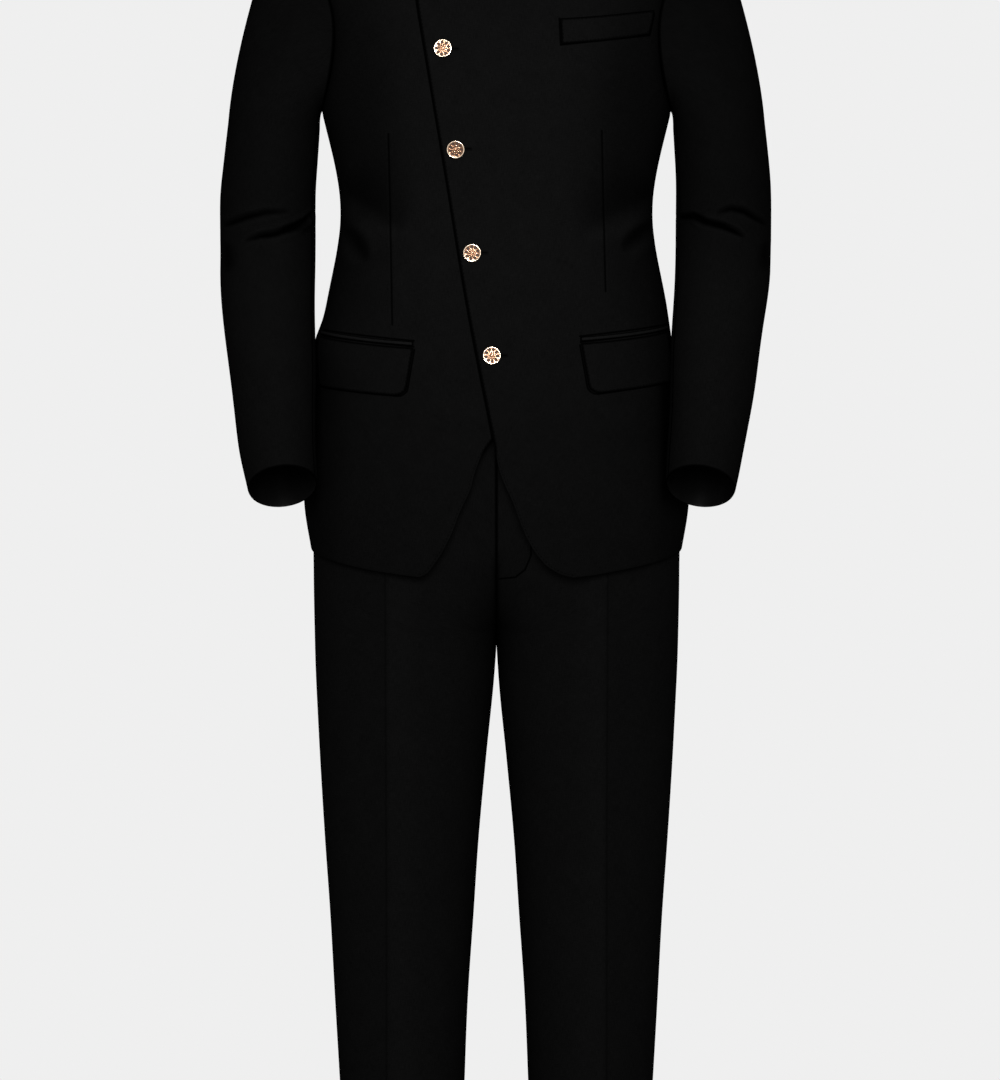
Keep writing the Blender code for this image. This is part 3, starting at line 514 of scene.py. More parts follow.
def armhole_place(step):
    around = np.mod(step, 2 * ARM_STEPS)
    up = ARMPIT_UP + (SHOULDER_UP - ARMPIT_UP) * arm_share(around)
    swing = np.sin(np.pi * around / ARM_STEPS)
    turn = np.where(around <= ARM_STEPS, ARMHOLE_FRONT, ARMHOLE_BACK) * swing
    return jacket_surface(up, turn), jacket_normal(up, turn)


def armhole_way(step):
    """The direction in the cloth that leads out of the armhole, away from the body's panels."""
    place, out = armhole_place(step)
    way = unit(np.cross(out, armhole_place(step + 0.05)[0] - armhole_place(step - 0.05)[0]))
    return way * np.where(dot(way, ARMHOLE_MIDDLE - place) > 0, 1.0, -1.0)[..., None]


def arm_middle(down, side):
    swing = SLEEVE_SWING[side] * ease(0.0, SLEEVE_LENGTH, down)
    return np.stack([SLEEVE.at("x", down) + swing, SLEEVE.at("y", down), SLEEVE.at("z", down)], axis=-1)


def arm_axis(down, side):
    return unit(arm_middle(down + 0.004, side) - arm_middle(down - 0.004, side))


def sleeve_ring(down, angle, side):
    """Places on the arm: the angle runs from the underarm over the front to the outside."""
    down, angle = np.broadcast_arrays(down, angle)
    axis = arm_axis(down, side)
    across = unit(np.array((1.0, 0.0, 0.0)) - axis * axis[..., :1])
    forward = unit(np.cross(across, axis))
    forward = forward * np.where(forward[..., 1:2] > 0, -1.0, 1.0)
    wide = (SLEEVE.at("half_width", down) * -np.cos(angle))[..., None]
    deep = (SLEEVE.at("half_depth", down) * np.sin(angle))[..., None]
    return arm_middle(down, side) + across * wide + forward * deep


def sleeve_grid(side, steps):
    """A sleeve's places from cuff to armhole, rows by steps, drawn for the wearer's left."""
    angles = np.pi * steps / ARM_STEPS
    length = SLEEVE_LENGTH
    downs = np.concatenate([
        length - np.array(EDGE_STEPS), np.linspace(length - 0.009, 0.172, 60),
        np.linspace(0.170, 0.135, 20), np.linspace(0.134, 0.080, 72), np.linspace(0.078, 0.0, 32),
    ])
    arm = sleeve_ring(downs[:, None], angles[None, :], side)
    start = sleeve_ring(np.zeros_like(angles), angles, side)
    leave = -arm_axis(np.zeros(1), side)[0]
    target, body_out = armhole_place(steps)
    way = armhole_way(steps)
    under = (np.maximum(0.0, np.cos(angles)) ** 1.5)[:, None]
    arrive = unit(way * (1 - under) + body_out * under)
    strength = (UNDERARM_RISE + (1 - UNDERARM_RISE) * (1 - np.cos(angles)) / 2)[:, None]
    t = np.concatenate([np.linspace(0, 0.97, 36)[1:], (0.980, 0.988, 0.995, 1.0)])[:, None, None]
    shift = np.full((len(steps), 1), SEAM_GAP)
    for _ in range(3):
        end = target + way * shift - body_out * UNDERARM_TUCK * under
        gap = np.linalg.norm(end - start, axis=-1, keepdims=True)
        cap = (
            start * ((1 + 2 * t) * (1 - t) ** 2)
            + end * (t * t * (3 - 2 * t))
            + leave * (CAP_RISE * gap * strength * t * (1 - t) ** 2)
            + arrive * (np.minimum(CAP_REACH, gap * 0.6) * t * t * (1 - t))
        )
        grid = np.concatenate([arm, cap])
        normals = grid_normals(grid, grid.mean(axis=1, keepdims=True))
        shift = SEAM_GAP + JACKET_CLOTH * np.maximum(0.0, dot(normals[-1], way))[:, None]
    return grid


# The trousers' form


def fork_blend(z, share):
    """0 where both legs are one oval, 1 where a leg is its own."""
    t = np.clip((FORK_TOP_Z - z) / (FORK_TOP_Z - CROTCH_Z), 0.0, 1.0)
    seam = 1 - np.sqrt(1 - t * t)
    slow = 1 - ease(FORK_LOW_Z, SEAT_Z, z)
    from_seam = np.minimum(share, 1 - share) / FORK_WIDTH
    weight = np.exp(-from_seam * from_seam)
    return seam * weight + slow * (1 - weight)


def leg_surface(z, share):
    """Places on the left leg: share runs from the inseam over the front, 0.5 at the outside."""
    z, share = np.broadcast_arrays(z, share)
    outer, inner = LEG.at("outer", z), LEG.at("inner", z)
    angle = math.tau * share
    across, outward = oval(angle, LEG_SQUARENESS)
    front = np.sin(angle) >= 0
    depth = np.where(front, LEG.at("front_depth", z), LEG.at("back_depth", z))
    leg = np.stack([
        (outer + inner) / 2 - (outer - inner) / 2 * across,
        LEG.at("middle_y", z) + np.where(front, -depth, depth) * outward,
        z,
    ], axis=-1)
    blend = fork_blend(z, share)[..., None]
    turn = math.pi / 2 - math.pi * share
    across, outward = oval(turn, HIP_SQUARENESS)
    depth = np.where(turn >= 0, HIPS.at("front_depth", z), HIPS.at("back_depth", z))
    hip = np.stack([
        HIPS.at("half_width", z) * across,
        np.where(turn >= 0, -depth, depth) * outward,
        z,
    ], axis=-1)
    return hip * (1 - blend) + leg * blend


# Making a piece of cloth


def grid_normals(grid, middle):
    """Outward unit normals of a grid of places, away from its middle line."""
    climb = np.gradient(grid, axis=0)
    across = np.gradient(grid, axis=1)
    normals = unit(np.cross(across, climb))
    return normals * np.sign(np.sum(dot(normals, grid - middle)))


def upright_middle(grid):
    """The suit's middle line at the height of each row of a grid."""
    middle = np.zeros((len(grid), 1, 3))
    middle[:, 0, 2] = grid[..., 2].mean(axis=1)
    return middle


def line_ways(line):
    """How far along a line each of its places lies."""
    return np.concatenate([[0.0], np.cumsum(np.linalg.norm(np.diff(line, axis=0), axis=1))])


def line_at(line, ways, along):
    """The places on a line at these distances along it."""
    return np.stack([np.interp(along, ways, line[:, axis]) for axis in range(3)], axis=-1)


def even_line(base, count):
    """Places along a line, close together at its ends, how far along each lies, and its length."""
    ways = line_ways(base)
    along = shares(ways[-1], count) * ways[-1]
    return line_at(base, ways, along), along, ways[-1]


def border_reach(grid, sides):
    """Distance of every place to the named sides of its grid, and how far along the side."""
    lines = {"start": grid[:, 0], "end": grid[:, -1], "low": grid[0], "high": grid[-1]}
    spots, alongs = [], []
    for name in sides:
        ways = line_ways(lines[name])
        along = np.arange(0.0, ways[-1], BORDER_STEP)
        spots.append(line_at(lines[name], ways, along))
        alongs.append(along)
    spots, alongs = np.concatenate(spots), np.concatenate(alongs)
    tree = kdtree.KDTree(len(spots))
    for index, place in enumerate(spots):
        tree.insert(place, index)
    tree.balance()
    found = [tree.find(place) for place in grid.reshape(-1, 3)]
    reach = np.array([item[2] for item in found]).reshape(grid.shape[:2])
    along = alongs[[item[1] for item in found]].reshape(grid.shape[:2])
    return reach, along


def cloth_lengths(grid):
    """Distances across and up the cloth in metres, for its weave and its flat size."""
    across = np.linalg.norm(np.diff(grid, axis=1), axis=2)
    across = np.concatenate([np.zeros((len(grid), 1)), np.cumsum(across, axis=1)], axis=1)
    climb = np.linalg.norm(np.diff(grid, axis=0), axis=2)
    climb = np.concatenate([np.zeros((1, grid.shape[1])), np.cumsum(climb, axis=0)], axis=0)
    return across, climb


def shell(name, outer, inner, finishes, attributes, weave):
    """A closed piece of cloth between two grids of places, each rows x columns."""
    rows, columns = outer.shape[:2]
    bm = bmesh.new()
    made = bmesh.ops.create_grid(bm, x_segments=columns - 1, y_segments=rows - 1, size=1.0)
    for index, vert in enumerate(made["verts"]):
        row, column = divmod(index, columns)
        vert.co = (column, row, 0)
    skin = list(bm.verts)
    raised = bmesh.ops.extrude_face_region(bm, geom=bm.faces[:] + bm.edges[:], use_keep_orig=True)
    copied = [item for item in raised["geom"] if isinstance(item, bmesh.types.BMVert)]
    for face in (item for item in raised["geom"] if isinstance(item, bmesh.types.BMFace)):
        face.material_index = 1
    places = [round(vert.co.y) * columns + round(vert.co.x) for vert in skin + copied]
    flat_outer, flat_inner = outer.reshape(-1, 3), inner.reshape(-1, 3)
    for vert, place in zip(skin, places):
        vert.co = flat_outer[place]
    for vert, place in zip(copied, places[len(skin):]):
        vert.co = flat_inner[place]
    bm.verts.index_update()
    order = np.zeros(len(bm.verts), int)
    for vert, place in zip(skin + copied, places):
        order[vert.index] = place
    bmesh.ops.recalc_face_normals(bm, faces=bm.faces)
    if bm.calc_volume(signed=True) < 0:
        bmesh.ops.reverse_faces(bm, faces=bm.faces)
    mesh = bpy.data.meshes.new(name)
    bm.to_mesh(mesh)
    bm.free()
    for key, values in attributes.items():
        layer = mesh.attributes.new(key, "FLOAT", "POINT")
        layer.data.foreach_set("value", values.reshape(-1)[order].astype(np.float32))
    corners = np.zeros(len(mesh.loops), int)
    mesh.loops.foreach_get("vertex_index", corners)
    uv = mesh.uv_layers.new(name="weave")
    uv.data.foreach_set("uv", weave.reshape(-1, 2)[order][corners].astype(np.float32).ravel())
    mesh.shade_smooth()
    mesh.set_sharp_from_angle(angle=SHARP_ANGLE)
    for finish in finishes:
        mesh.materials.append(finish)
    piece = bpy.data.objects.new(name, mesh)
    bpy.context.collection.objects.link(piece)
    return piece


def cloth_piece(node, grid, middle, thickness, finishes, roll=0.0007,
                rolled=ALL_SIDES, stitched=(), bulge=None, facts=None):
    """A finished piece of cloth on its form, which stands for one node of the frame."""
    normals = grid_normals(grid, middle)
    bulge = np.zeros(grid.shape[:2]) if bulge is None else bulge
    base, grid = grid, grid + normals * bulge[..., None]
    seam, _ = border_reach(grid, ALL_SIDES)
    turned = seam if rolled == ALL_SIDES else border_reach(grid, rolled)[0]
    sink = roll * np.clip(1 - turned / ROLL_REACH, 0.0, 1.0) ** 2
    outer = base + normals * (bulge - sink)[..., None]
    inner = base + normals * (bulge - thickness + INNER_ROLL * sink)[..., None]
    attributes = {"seam": seam, **(facts or {})}
    attributes["seam"] = seam + attributes.pop("open_edge", 0.0)
    if stitched:
        attributes["edging"], attributes["stitch_run"] = border_reach(grid, stitched)
    across, climb = cloth_lengths(grid)
    sideways = np.sign(grid[:, -1:, 0] - grid[:, :1, 0]).mean()
    weave = np.stack([grid[:, :1, 0] + sideways * across, grid[:1, :, 2] + climb], axis=-1)
    piece = shell(f"{node}_cloth", outer, inner, finishes, attributes, weave)
    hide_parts(node)
    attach(piece, "root")
    steps_a = np.diff(grid, axis=1)[:-1]
    steps_b = np.diff(grid, axis=0)[:, :-1]
    area = float(np.linalg.norm(np.cross(steps_a, steps_b), axis=2).sum())
    width, length = float(across[:, -1].max()), max(float(climb[-1].max()), LEAST_FLAT)
    area = min(max(area, LEAST_AREA * width * length), width * length)
    return piece


# Materials


class Wire:
    """A number from a node's socket. Sums, products and comparisons of it add Math nodes."""

    def __init__(self, tree, socket):
        self.tree, self.socket = tree, socket

    def math(self, operation, *values):
        node = self.tree.nodes.new("ShaderNodeMath")
        node.operation = operation
        for slot, value in zip(node.inputs, values):
            if isinstance(value, Wire):
                self.tree.links.new(value.socket, slot)
            else:
                slot.default_value = value
        return Wire(self.tree, node.outputs[0])

    def __add__(self, other):
        return self.math("ADD", self, other)

    def __radd__(self, other):
        return self.math("ADD", other, self)

    def __sub__(self, other):
        return self.math("SUBTRACT", self, other)

    def __rsub__(self, other):
        return self.math("SUBTRACT", other, self)

    def __mul__(self, other):
        return self.math("MULTIPLY", self, other)

    def __rmul__(self, other):
        return self.math("MULTIPLY", other, self)

    def __truediv__(self, other):
        return self.math("DIVIDE", self, other)

    def __rtruediv__(self, other):
        return self.math("DIVIDE", other, self)

    def __lt__(self, other):
        return self.math("LESS_THAN", self, other)

    def sine(self):
        return self.math("SINE", self)

    def part(self):
        """What is left past the last whole number."""
        return self.math("FRACT", self)

    def root(self):
        return self.math("SQRT", self)

    def away(self):
        """The number without its sign."""
        return self.math("ABSOLUTE", self)

    def least(self, other):
        return self.math("MINIMUM", self, other)

    def most(self, other):
        return self.math("MAXIMUM", self, other)

    def between(self, low, high):
        """0 below low, 1 above high, and a smooth change between them."""
        t = ((self - low) / (high - low)).most(0.0).least(1.0)
        return t * t * (3.0 - 2.0 * t)


class Recipe:
    """A material's nodes, added one at a time."""

    def __init__(self, name):
        self.material = bpy.data.materials.new(name)
        self.material.use_nodes = True
        self.tree = self.material.node_tree
        self.shader = self.tree.nodes["Principled BSDF"]

    def add(self, kind, settings=None, values=None):
        node = self.tree.nodes.new(kind)
        for key, value in (settings or {}).items():
            setattr(node, key, value)
        for key, value in (values or {}).items():
            self.feed(node.inputs[key], value)
        return node

    def feed(self, slot, value):
        if isinstance(value, Wire):
            self.tree.links.new(value.socket, slot)
        elif isinstance(value, bpy.types.NodeSocket):
            self.tree.links.new(value, slot)
        else:
            slot.default_value = value

    def wire(self, socket):
        return Wire(self.tree, socket)

    def fact(self, name):
        """A number that the mesh carries at each of its points."""
        return self.wire(self.add("ShaderNodeAttribute", {"attribute_name": name}).outputs["Fac"])

    def weave(self):
        """Distances across and up the cloth, in metres."""
        laid = self.add("ShaderNodeUVMap", {"uv_map": "weave"})
        across = self.add("ShaderNodeSeparateXYZ", values={0: laid.outputs[0]})
        return self.wire(across.outputs[0]), self.wire(across.outputs[1])

    def place(self):
        """The place on the whole suit, as x, y and z."""
        parts = self.add("ShaderNodeSeparateXYZ", values={0: self.add("ShaderNodeTexCoord").outputs["Object"]})
        return tuple(self.wire(parts.outputs[index]) for index in range(3))

    def noise(self, x, y, z=0.0, detail=2.0, roughness=0.5):
        joined = self.add("ShaderNodeCombineXYZ", values={0: x, 1: y, 2: z})
        made = self.add("ShaderNodeTexNoise", values={
            "Vector": joined.outputs[0], "Scale": 1.0, "Detail": detail, "Roughness": roughness,
        })
        return self.wire(made.outputs["Fac"])

    def mixed(self, share, low, high):
        node = self.add("ShaderNodeMix", {"data_type": "RGBA"}, {0: share, 6: low, 7: high})
        return node.outputs[2]

    def bumped(self, height, distance=1.0, strength=1.0):
        """A normal from a height in metres."""
        node = self.add("ShaderNodeBump", values={"Height": height, "Distance": distance, "Strength": strength})
        self.feed(self.shader.inputs["Normal"], node.outputs[0])


def line_far(x, z, line):
    """Distance in the front's plane from a point to a line of straight pieces."""
    nearest = None
    for (ax, az), (bx, bz) in zip(line, line[1:]):
        dx, dz = bx - ax, bz - az
        share = (((x - ax) * dx + (z - az) * dz) / (dx * dx + dz * dz)).most(0.0).least(1.0)
        off_x, off_z = x - ax - dx * share, z - az - dz * share
        far = (off_x * off_x + off_z * off_z).root()
        nearest = far if nearest is None else nearest.least(far)
    return nearest


def wool(name, look, stitched=False, darts=(), holes=(), topstitch=(), pressed_line=False,
         edge=(0.0005, 0.0028), tone=1.0):
    """Fine black worsted: a twill of close threads, faint streaks and mottling, with painted shade in its
    seams, folds and hollows and painted highlight on the folds' rolls, with its edge stitches, dart seams,
    buttonholes, stitched lines, painted shadow lines and a crease's painted shade and highlight where given."""
    made = Recipe(name)
    u, v = made.weave()
    pitch = look.twill_pitch
    twill = ((u + v) * (math.tau / pitch)).sine() * 0.5 + 0.5
    warp = made.noise(u * THREAD_ACROSS, v * THREAD_ALONG)
    weft = made.noise(u * THREAD_ALONG, v * THREAD_ACROSS, z=7.0)
    cloudy = made.noise(u * 55.0, v * 42.0, z=3.0, detail=3.0)
    shade = 0.5 + (warp - 0.5) * 0.44 + (weft - 0.5) * 0.36 + (cloudy - 0.5) * 0.16 + (twill - 0.5) * 0.08
    height = twill * 0.00003 + warp * 0.00005 + weft * 0.00005
    seam = made.fact("seam")
    # painted shade in the seams and along the pieces' edges
    shade = shade * (1.0 - SEAM_PAINTED_SHADE + SEAM_PAINTED_SHADE * seam.between(*edge)) * tone
    # painted shade from folds, hollows, the arms and the crotch, and painted highlight on fold rolls
    shade = shade * (1.0 - PAINTED_SHADING_STRENGTH * made.fact("painted_shading"))
    if pressed_line:
        # painted shade on the crease's line, and painted highlight on a band beside it on its inner side
        press = made.fact("press")
        shade = shade * (1.0 - 0.30 * (1.0 - press.away().between(0.0002, 0.0018)))
        shade = shade * (1.0 + 0.14 * press.between(0.0010, 0.0060) * (1.0 - press.between(0.0120, 0.0450)))
    if stitched:
        edging, run = made.fact("edging"), made.fact("stitch_run")
        on_line = 1.0 - (edging - look.stitch_inset).away().between(0.0001, 0.0006)
        stitch = on_line * (((run / look.stitch_pitch).part() - 0.5).away() < 0.22)
        shade = shade * (1.0 - STITCH_DARK * stitch)
        height = height - stitch * 0.00025
        height = height - (1.0 - (edging - look.stitch_inset).away().between(0.0, 0.0016)) * 0.00012
    if darts or holes or topstitch:
        x, _, z = made.place()
        for line in darts:
            far = line_far(x, z, line)
            groove = 1.0 - far.between(0.0002, 0.0015)
            # the dart's groove is painted darker, as shade in it
            shade = shade * (1.0 - GROOVE_PAINTED_SHADE * groove)
            height = height - groove * 0.0005
            height = height + (1.0 - (far - 0.0030).away().between(0.0, 0.0024)) * 0.00018
        for hole_x, hole_z, half in holes:
            far = line_far(x, z, ((hole_x, hole_z), (hole_x + half, hole_z)))
            slit = 1.0 - far.between(0.0001, 0.0006)
            gimp = 1.0 - (far - 0.0013).away().between(0.0003, 0.0009)
            threads = ((x * (math.tau / GIMP_PITCH)).sine() * 0.5 + 0.5) * gimp
            # the slit is painted dark, as shade in the cut
            shade = shade * (1.0 - 0.9 * slit) * (1.0 - 0.35 * gimp)
            height = height + gimp * 0.00022 + threads * 0.00006 - slit * 0.0005
        for line in topstitch:
            # each line is dark: the fly's stitching, and painted shadows round the pockets and along the over front's
            # edge
            far = line_far(x, z, line)
            stitch_or_shadow = 1.0 - far.between(0.0004, 0.0014)
            shade = shade * (1.0 - 0.92 * stitch_or_shadow)
            height = height - stitch_or_shadow * 0.0002
    deep, light = (*look.shade_colour, 1.0), (*look.light_colour, 1.0)
    made.feed(made.shader.inputs["Base Color"], made.mixed(shade.most(0.0).least(1.0), deep, light))
    made.feed(made.shader.inputs["Roughness"], 0.62 + 0.16 * warp + 0.05 * twill)
    made.shader.inputs["Specular IOR Level"].default_value = look.gloss
    made.shader.inputs["Sheen Weight"].default_value = look.sheen
    made.shader.inputs["Sheen Roughness"].default_value = 0.45
    made.bumped(height)
    return made.material


def lining(name, look):
    """Black satin lining, with fine ribs across it."""
    made = Recipe(name)
    u, v = made.weave()
    ribs = (v * (math.tau / LINING_RIB)).sine() * 0.5 + 0.5
    cloudy = made.noise(u * 30.0, v * 30.0, detail=3.0)
    made.feed(made.shader.inputs["Base Color"], made.mixed(
        cloudy * 0.7 + ribs * 0.3, (*look.shade_colour, 1.0), (*look.light_colour, 1.0)))
    made.feed(made.shader.inputs["Roughness"], 0.36 + 0.12 * cloudy)
    made.shader.inputs["Specular IOR Level"].default_value = 0.03
    made.bumped(ribs * 0.00003 + cloudy * 0.0004)
    return made.material


def rose_gold(name, look):
    """Polished rose gold, with dark patina sunk in its pattern and fine scratches."""
    made = Recipe(name)
    x, y, z = made.place()
    sunk = made.fact("sunk")
    warm = made.fact("warm")
    cloudy = made.noise(x * 900.0, z * 900.0, y * 900.0, detail=3.0)
    scratch = made.noise(x * 2600.0 + z * 900.0, z * 260.0)
    bright = made.mixed(warm, (*look.rim_colour, 1.0), (*look.boss_colour, 1.0))
    grime = (sunk * (0.75 + 0.5 * cloudy)).least(1.0)
    made.feed(made.shader.inputs["Base Color"], made.mixed(grime, bright, (*look.patina_colour, 1.0)))
    made.feed(made.shader.inputs["Roughness"], 0.16 + 0.40 * sunk + 0.10 * cloudy)
    made.feed(made.shader.inputs["Metallic"], 1.0 - 0.35 * sunk)
    made.bumped(scratch * 0.000008 + cloudy * 0.00001)
    return made.material


# Properties


def colour_field(name, description, default):
    return FloatVectorProperty(
        name=name, description=description, subtype="COLOR", size=3, min=0.0, max=1.0, default=default)


def number_field(name, description, default, low, high, **options):
    return FloatProperty(name=name, description=description, default=default, min=low, max=high, **options)


def length_field(name, description, default, low, high):
    return number_field(name, description, default, low, high, unit="LENGTH")


class SuitClothLook(bpy.types.PropertyGroup):
    light_colour: colour_field("Light threads", "Colour of the lightest threads of the cloth", (0.0027,) * 3)
    # the dark colour is also what the painted shade in seams, folds and hollows takes the cloth towards
    shade_colour: colour_field("Dark threads", "Colour of the darkest threads and the seams' depth", (0.0001,) * 3)
    twill_pitch: length_field("Twill pitch", "Distance between the ribs of the twill", 0.0009, 0.0004, 0.004)
    stitch_inset: length_field("Stitch inset", "How far the edge stitches lie in from the edge", 0.0021, 0.0005, 0.01)
    stitch_pitch: length_field("Stitch pitch", "Distance from one edge stitch to the next", 0.0042, 0.001, 0.02)
    gloss: number_field("Gloss", "Strength of the cloth's reflections", 0.0, 0.0, 1.0, subtype="FACTOR")
    sheen: number_field("Sheen", "Light caught by the cloth's fine hairs", 0.0, 0.0, 1.0, subtype="FACTOR")


class SuitButtonLook(bpy.types.PropertyGroup):
    radius: length_field("Radius", "Radius of a button", 0.0093, 0.005, 0.02)
    petals: IntProperty(
        name="Petals", description="Number of sunk petals round a button", default=9, min=5, max=16)
    rim_colour: colour_field("Rim colour", "Colour of the polished rim", (0.90, 0.73, 0.56))
    boss_colour: colour_field("Boss colour", "Colour of the middle of the button", (0.20, 0.112, 0.068))
    patina_colour: colour_field("Patina colour", "Colour of the dark sunk pattern", (0.014, 0.006, 0.004))


class SuitStageLook(bpy.types.PropertyGroup):
    backdrop_colour: colour_field("Backdrop colour", "Colour of the pale floor and of the room", (0.863,) * 3)
    key_power: number_field("Key power", "Power of the large soft light in front, in watts", 230.0, 0.0, 2000.0)
    chest_power: number_field("Chest power", "Power of the narrow light on the chest, in watts", 950.0, 0.0, 20000.0)
    back_power: number_field("Back power", "Power of the large soft light behind, in watts", 190.0, 0.0, 2000.0)
    lens: number_field("Lens", "Focal length of the camera, in millimetres", 186.92, 20.0, 400.0)


class SuitSettings(bpy.types.PropertyGroup):
    cloth: PointerProperty(type=SuitClothLook)
    button: PointerProperty(type=SuitButtonLook)
    stage: PointerProperty(type=SuitStageLook)


# The pieces and the stage, with one operator for each kind


def finish_named(name, build, *facts, **options):
    """A material by its name, made the first time that it is asked for."""
    found = bpy.data.materials.get(name)
    return found or build(name, *facts, **options)


def plain_finishes(look):
    """Plain cloth outside and lining inside."""
    return finish_named("wool_plain", wool, look), finish_named("black_lining", lining, look)


def pocket_lines(side):
    """Shadows above a jet, between it and its flap, and round the flap, on one front."""
    low, low_out, top, top_out = FLAPS[side]
    jet, jet_out, jet_top, jet_top_out = JETS[side]
    lines = (
        ((jet_top[0], jet_top[1] + 0.0007), (jet_top_out[0] + 0.0030, jet_top_out[1] + 0.0010)),
        ((top[0], (top[1] + jet[1]) / 2), (top_out[0] + 0.0040, (top_out[1] + jet_out[1]) / 2 + 0.0004)),
        ((top[0] - 0.0007, top[1] - 0.0019), *((low[0] + x, low[1] + z) for x, z in FLAP_TURN),
         (low_out[0] + 0.0035, low_out[1] - 0.0005)),
    )
    return [tuple((side * x, z) for x, z in line) for line in lines]


def button_spots():
    z = np.array(BUTTON_HEIGHTS)
    return list(zip(over_x(z) + BUTTON_INSET + np.array(BUTTON_SHIFTS), z))


def self_shadow(grid, from_side):
    """The shade that an arm throws on a front: beside the armhole, and along the forearm."""
    x, z = grid[..., 0], grid[..., 2]
    chest = (1 - ease(-0.130, -0.070, z)) * ease(-0.290, -0.250, z)
    waist = (1 - ease(-0.290, -0.250, z)) * ease(-0.500, -0.470, z)
    shade = CHEST_SHADE * chest * np.exp(-from_side / CHEST_SHADE_WIDTH)
    shade = shade + WAIST_SHADE * waist * np.exp(-from_side / WAIST_SHADE_WIDTH)
    to_arm = np.where(x < 0, FOREARM_X[-1] + x, FOREARM_X[1] - x)
    hip = (1 - ease(-0.500, -0.482, z)) * ease(-0.690, -0.640, z)
    return shade + FOREARM_SHADE * hip * np.exp(-(np.maximum(to_arm, 0.0) / FOREARM_SHADE_WIDTH) ** 2)


def body_panel(node, side, front, finishes, stitched, start):
    """A front or a back panel, from its edge or the middle seam to the side."""
    levels, arm = body_levels()
    limit = side_limit(levels, arm, front)
    share = shares(0.26, 84)
    turns = start[:, None] + (limit - start)[:, None] * share[None, :]
    if front:
        grid, _, painted_shading = front_cloth(side, levels[:, None], turns)
        # painted shadow of the arm on the front, added to the painted shading of its folds
        painted_shading = painted_shading + self_shadow(grid, (turns - limit[:, None]) * FRONT_DEPTH)
    else:
        grid = mirrored(jacket_surface(levels[:, None], -turns), side)
        out = mirrored(jacket_normal(levels[:, None], -turns), side)
        keep = ease(0.0, 0.5, turns)
        move, painted_shading = folded(grid[..., 0], grid[..., 2], BACK_FOLDS)
        grid = grid + out * (move * keep + hip_fill(grid))[..., None]
        # painted shading of the back's folds
        painted_shading = painted_shading * keep
    open_edge = OPEN_EDGE_LIGHT * (1 - ease(-0.620, -0.600, grid[..., 2]))
    cloth_piece(node, grid, upright_middle(grid), JACKET_CLOTH, finishes, stitched=stitched,
                facts={"painted_shading": painted_shading, "open_edge": open_edge})


class SUIT_OT_fronts(bpy.types.Operator):
    """Makes the two fronts of the jacket, with their darts, buttonholes and edge stitches"""

    bl_idname = "suit.fronts"
    bl_label = "Jacket fronts"

    def execute(self, context):
        look = context.scene.suit.cloth
        inside = finish_named("black_lining", lining, look)
        levels, _ = body_levels()
        holes = [(x + HOLE_SHIFT, z, HOLE_LENGTH) for x, z in button_spots()]
        left = finish_named("wool_over_front", wool, look, stitched=True, darts=DARTS[1:], holes=holes,
                            topstitch=(*pocket_lines(1), WELT_LINE))
        # a painted shadow on the under front, just inside the over front's edge
        heights = np.linspace(*LAP_LINE_Z, 14)
        lap_line = tuple((float(over_x(z)) - LAP_LINE_SHIFT, float(z)) for z in heights)
        right = finish_named("wool_under_front", wool, look, stitched=True, darts=DARTS[:1],
                             topstitch=(*pocket_lines(-1), lap_line))
        body_panel("jacket_front_left", 1, True, (left, inside), ("start",), turn_where(levels, 1, over_x))
        body_panel("jacket_front_right", -1, True, (right, inside), ("start",), turn_where(levels, -1, under_x))
        return {"FINISHED"}


class SUIT_OT_backs(bpy.types.Operator):
    """Makes the two back panels of the jacket"""

    bl_idname = "suit.backs"
    bl_label = "Jacket backs"

    def execute(self, context):
        look = context.scene.suit.cloth
        finishes = plain_finishes(look)
        levels, _ = body_levels()
        start = math.pi / 2 - SEAM_GAP / 2 / JACKET.at("half_width", levels)
        for label, side in SIDES:
            body_panel(f"jacket_back_{label}", side, False, finishes, (), start)
        return {"FINISHED"}


class SUIT_OT_sleeves(bpy.types.Operator):
    """Makes the top and under sleeves, with the folds at the elbows"""

    bl_idname = "suit.sleeves"
    bl_label = "Sleeves"

    def execute(self, context):
        look = context.scene.suit.cloth
        finishes = plain_finishes(look)
        for label, side in SIDES:
            for part, first, last, count in (
                ("top", FRONT_SEAM_STEP, BACK_SEAM_STEP, 84),
                ("under", BACK_SEAM_STEP, 2 * ARM_STEPS + FRONT_SEAM_STEP, 44),
            ):
                self.make(f"sleeve_{part}_{label}", side, first, last, count, finishes)
        return {"FINISHED"}

    def make(self, node, side, first, last, count, finishes):
        steps = first + (last - first) * shares(0.19, count)
        half_gap = SEAM_GAP / 2 / STEP_WIDTH
        steps[0] += half_gap
        steps[-1] -= half_gap
        grid = mirrored(sleeve_grid(side, steps), side)
        ring = sleeve_grid(side, np.arange(0, 2 * ARM_STEPS, 1.0))
        middle = mirrored(ring.mean(axis=1, keepdims=True), side)
        normals = grid_normals(grid, middle)
        facing = ease(-0.15, 0.45, -normals[..., 1])
        move, painted_shading = folded(grid[..., 0], grid[..., 2], SLEEVE_FOLDS[side])
        low = (1 - ease(-0.350, -0.290, grid[..., 2])) * ease(-0.650, -0.600, grid[..., 2])
        soft = 0.0006 * np.sin(grid[..., 2] * 46 + grid[..., 0] * 30) * low
        # painted shade in the elbow folds' troughs and painted highlight on their rolls, on the front of the sleeve,
        # and painted shade on the upper arm
        cloth_piece(node, grid, middle, JACKET_CLOTH, finishes, bulge=move * facing + soft,
                    rolled=("low",) if "under" in node else ALL_SIDES,
                    facts={"painted_shading": painted_shading * facing + SLEEVE_SHADE[side] * ease(-0.460, -0.340, grid[..., 2])})


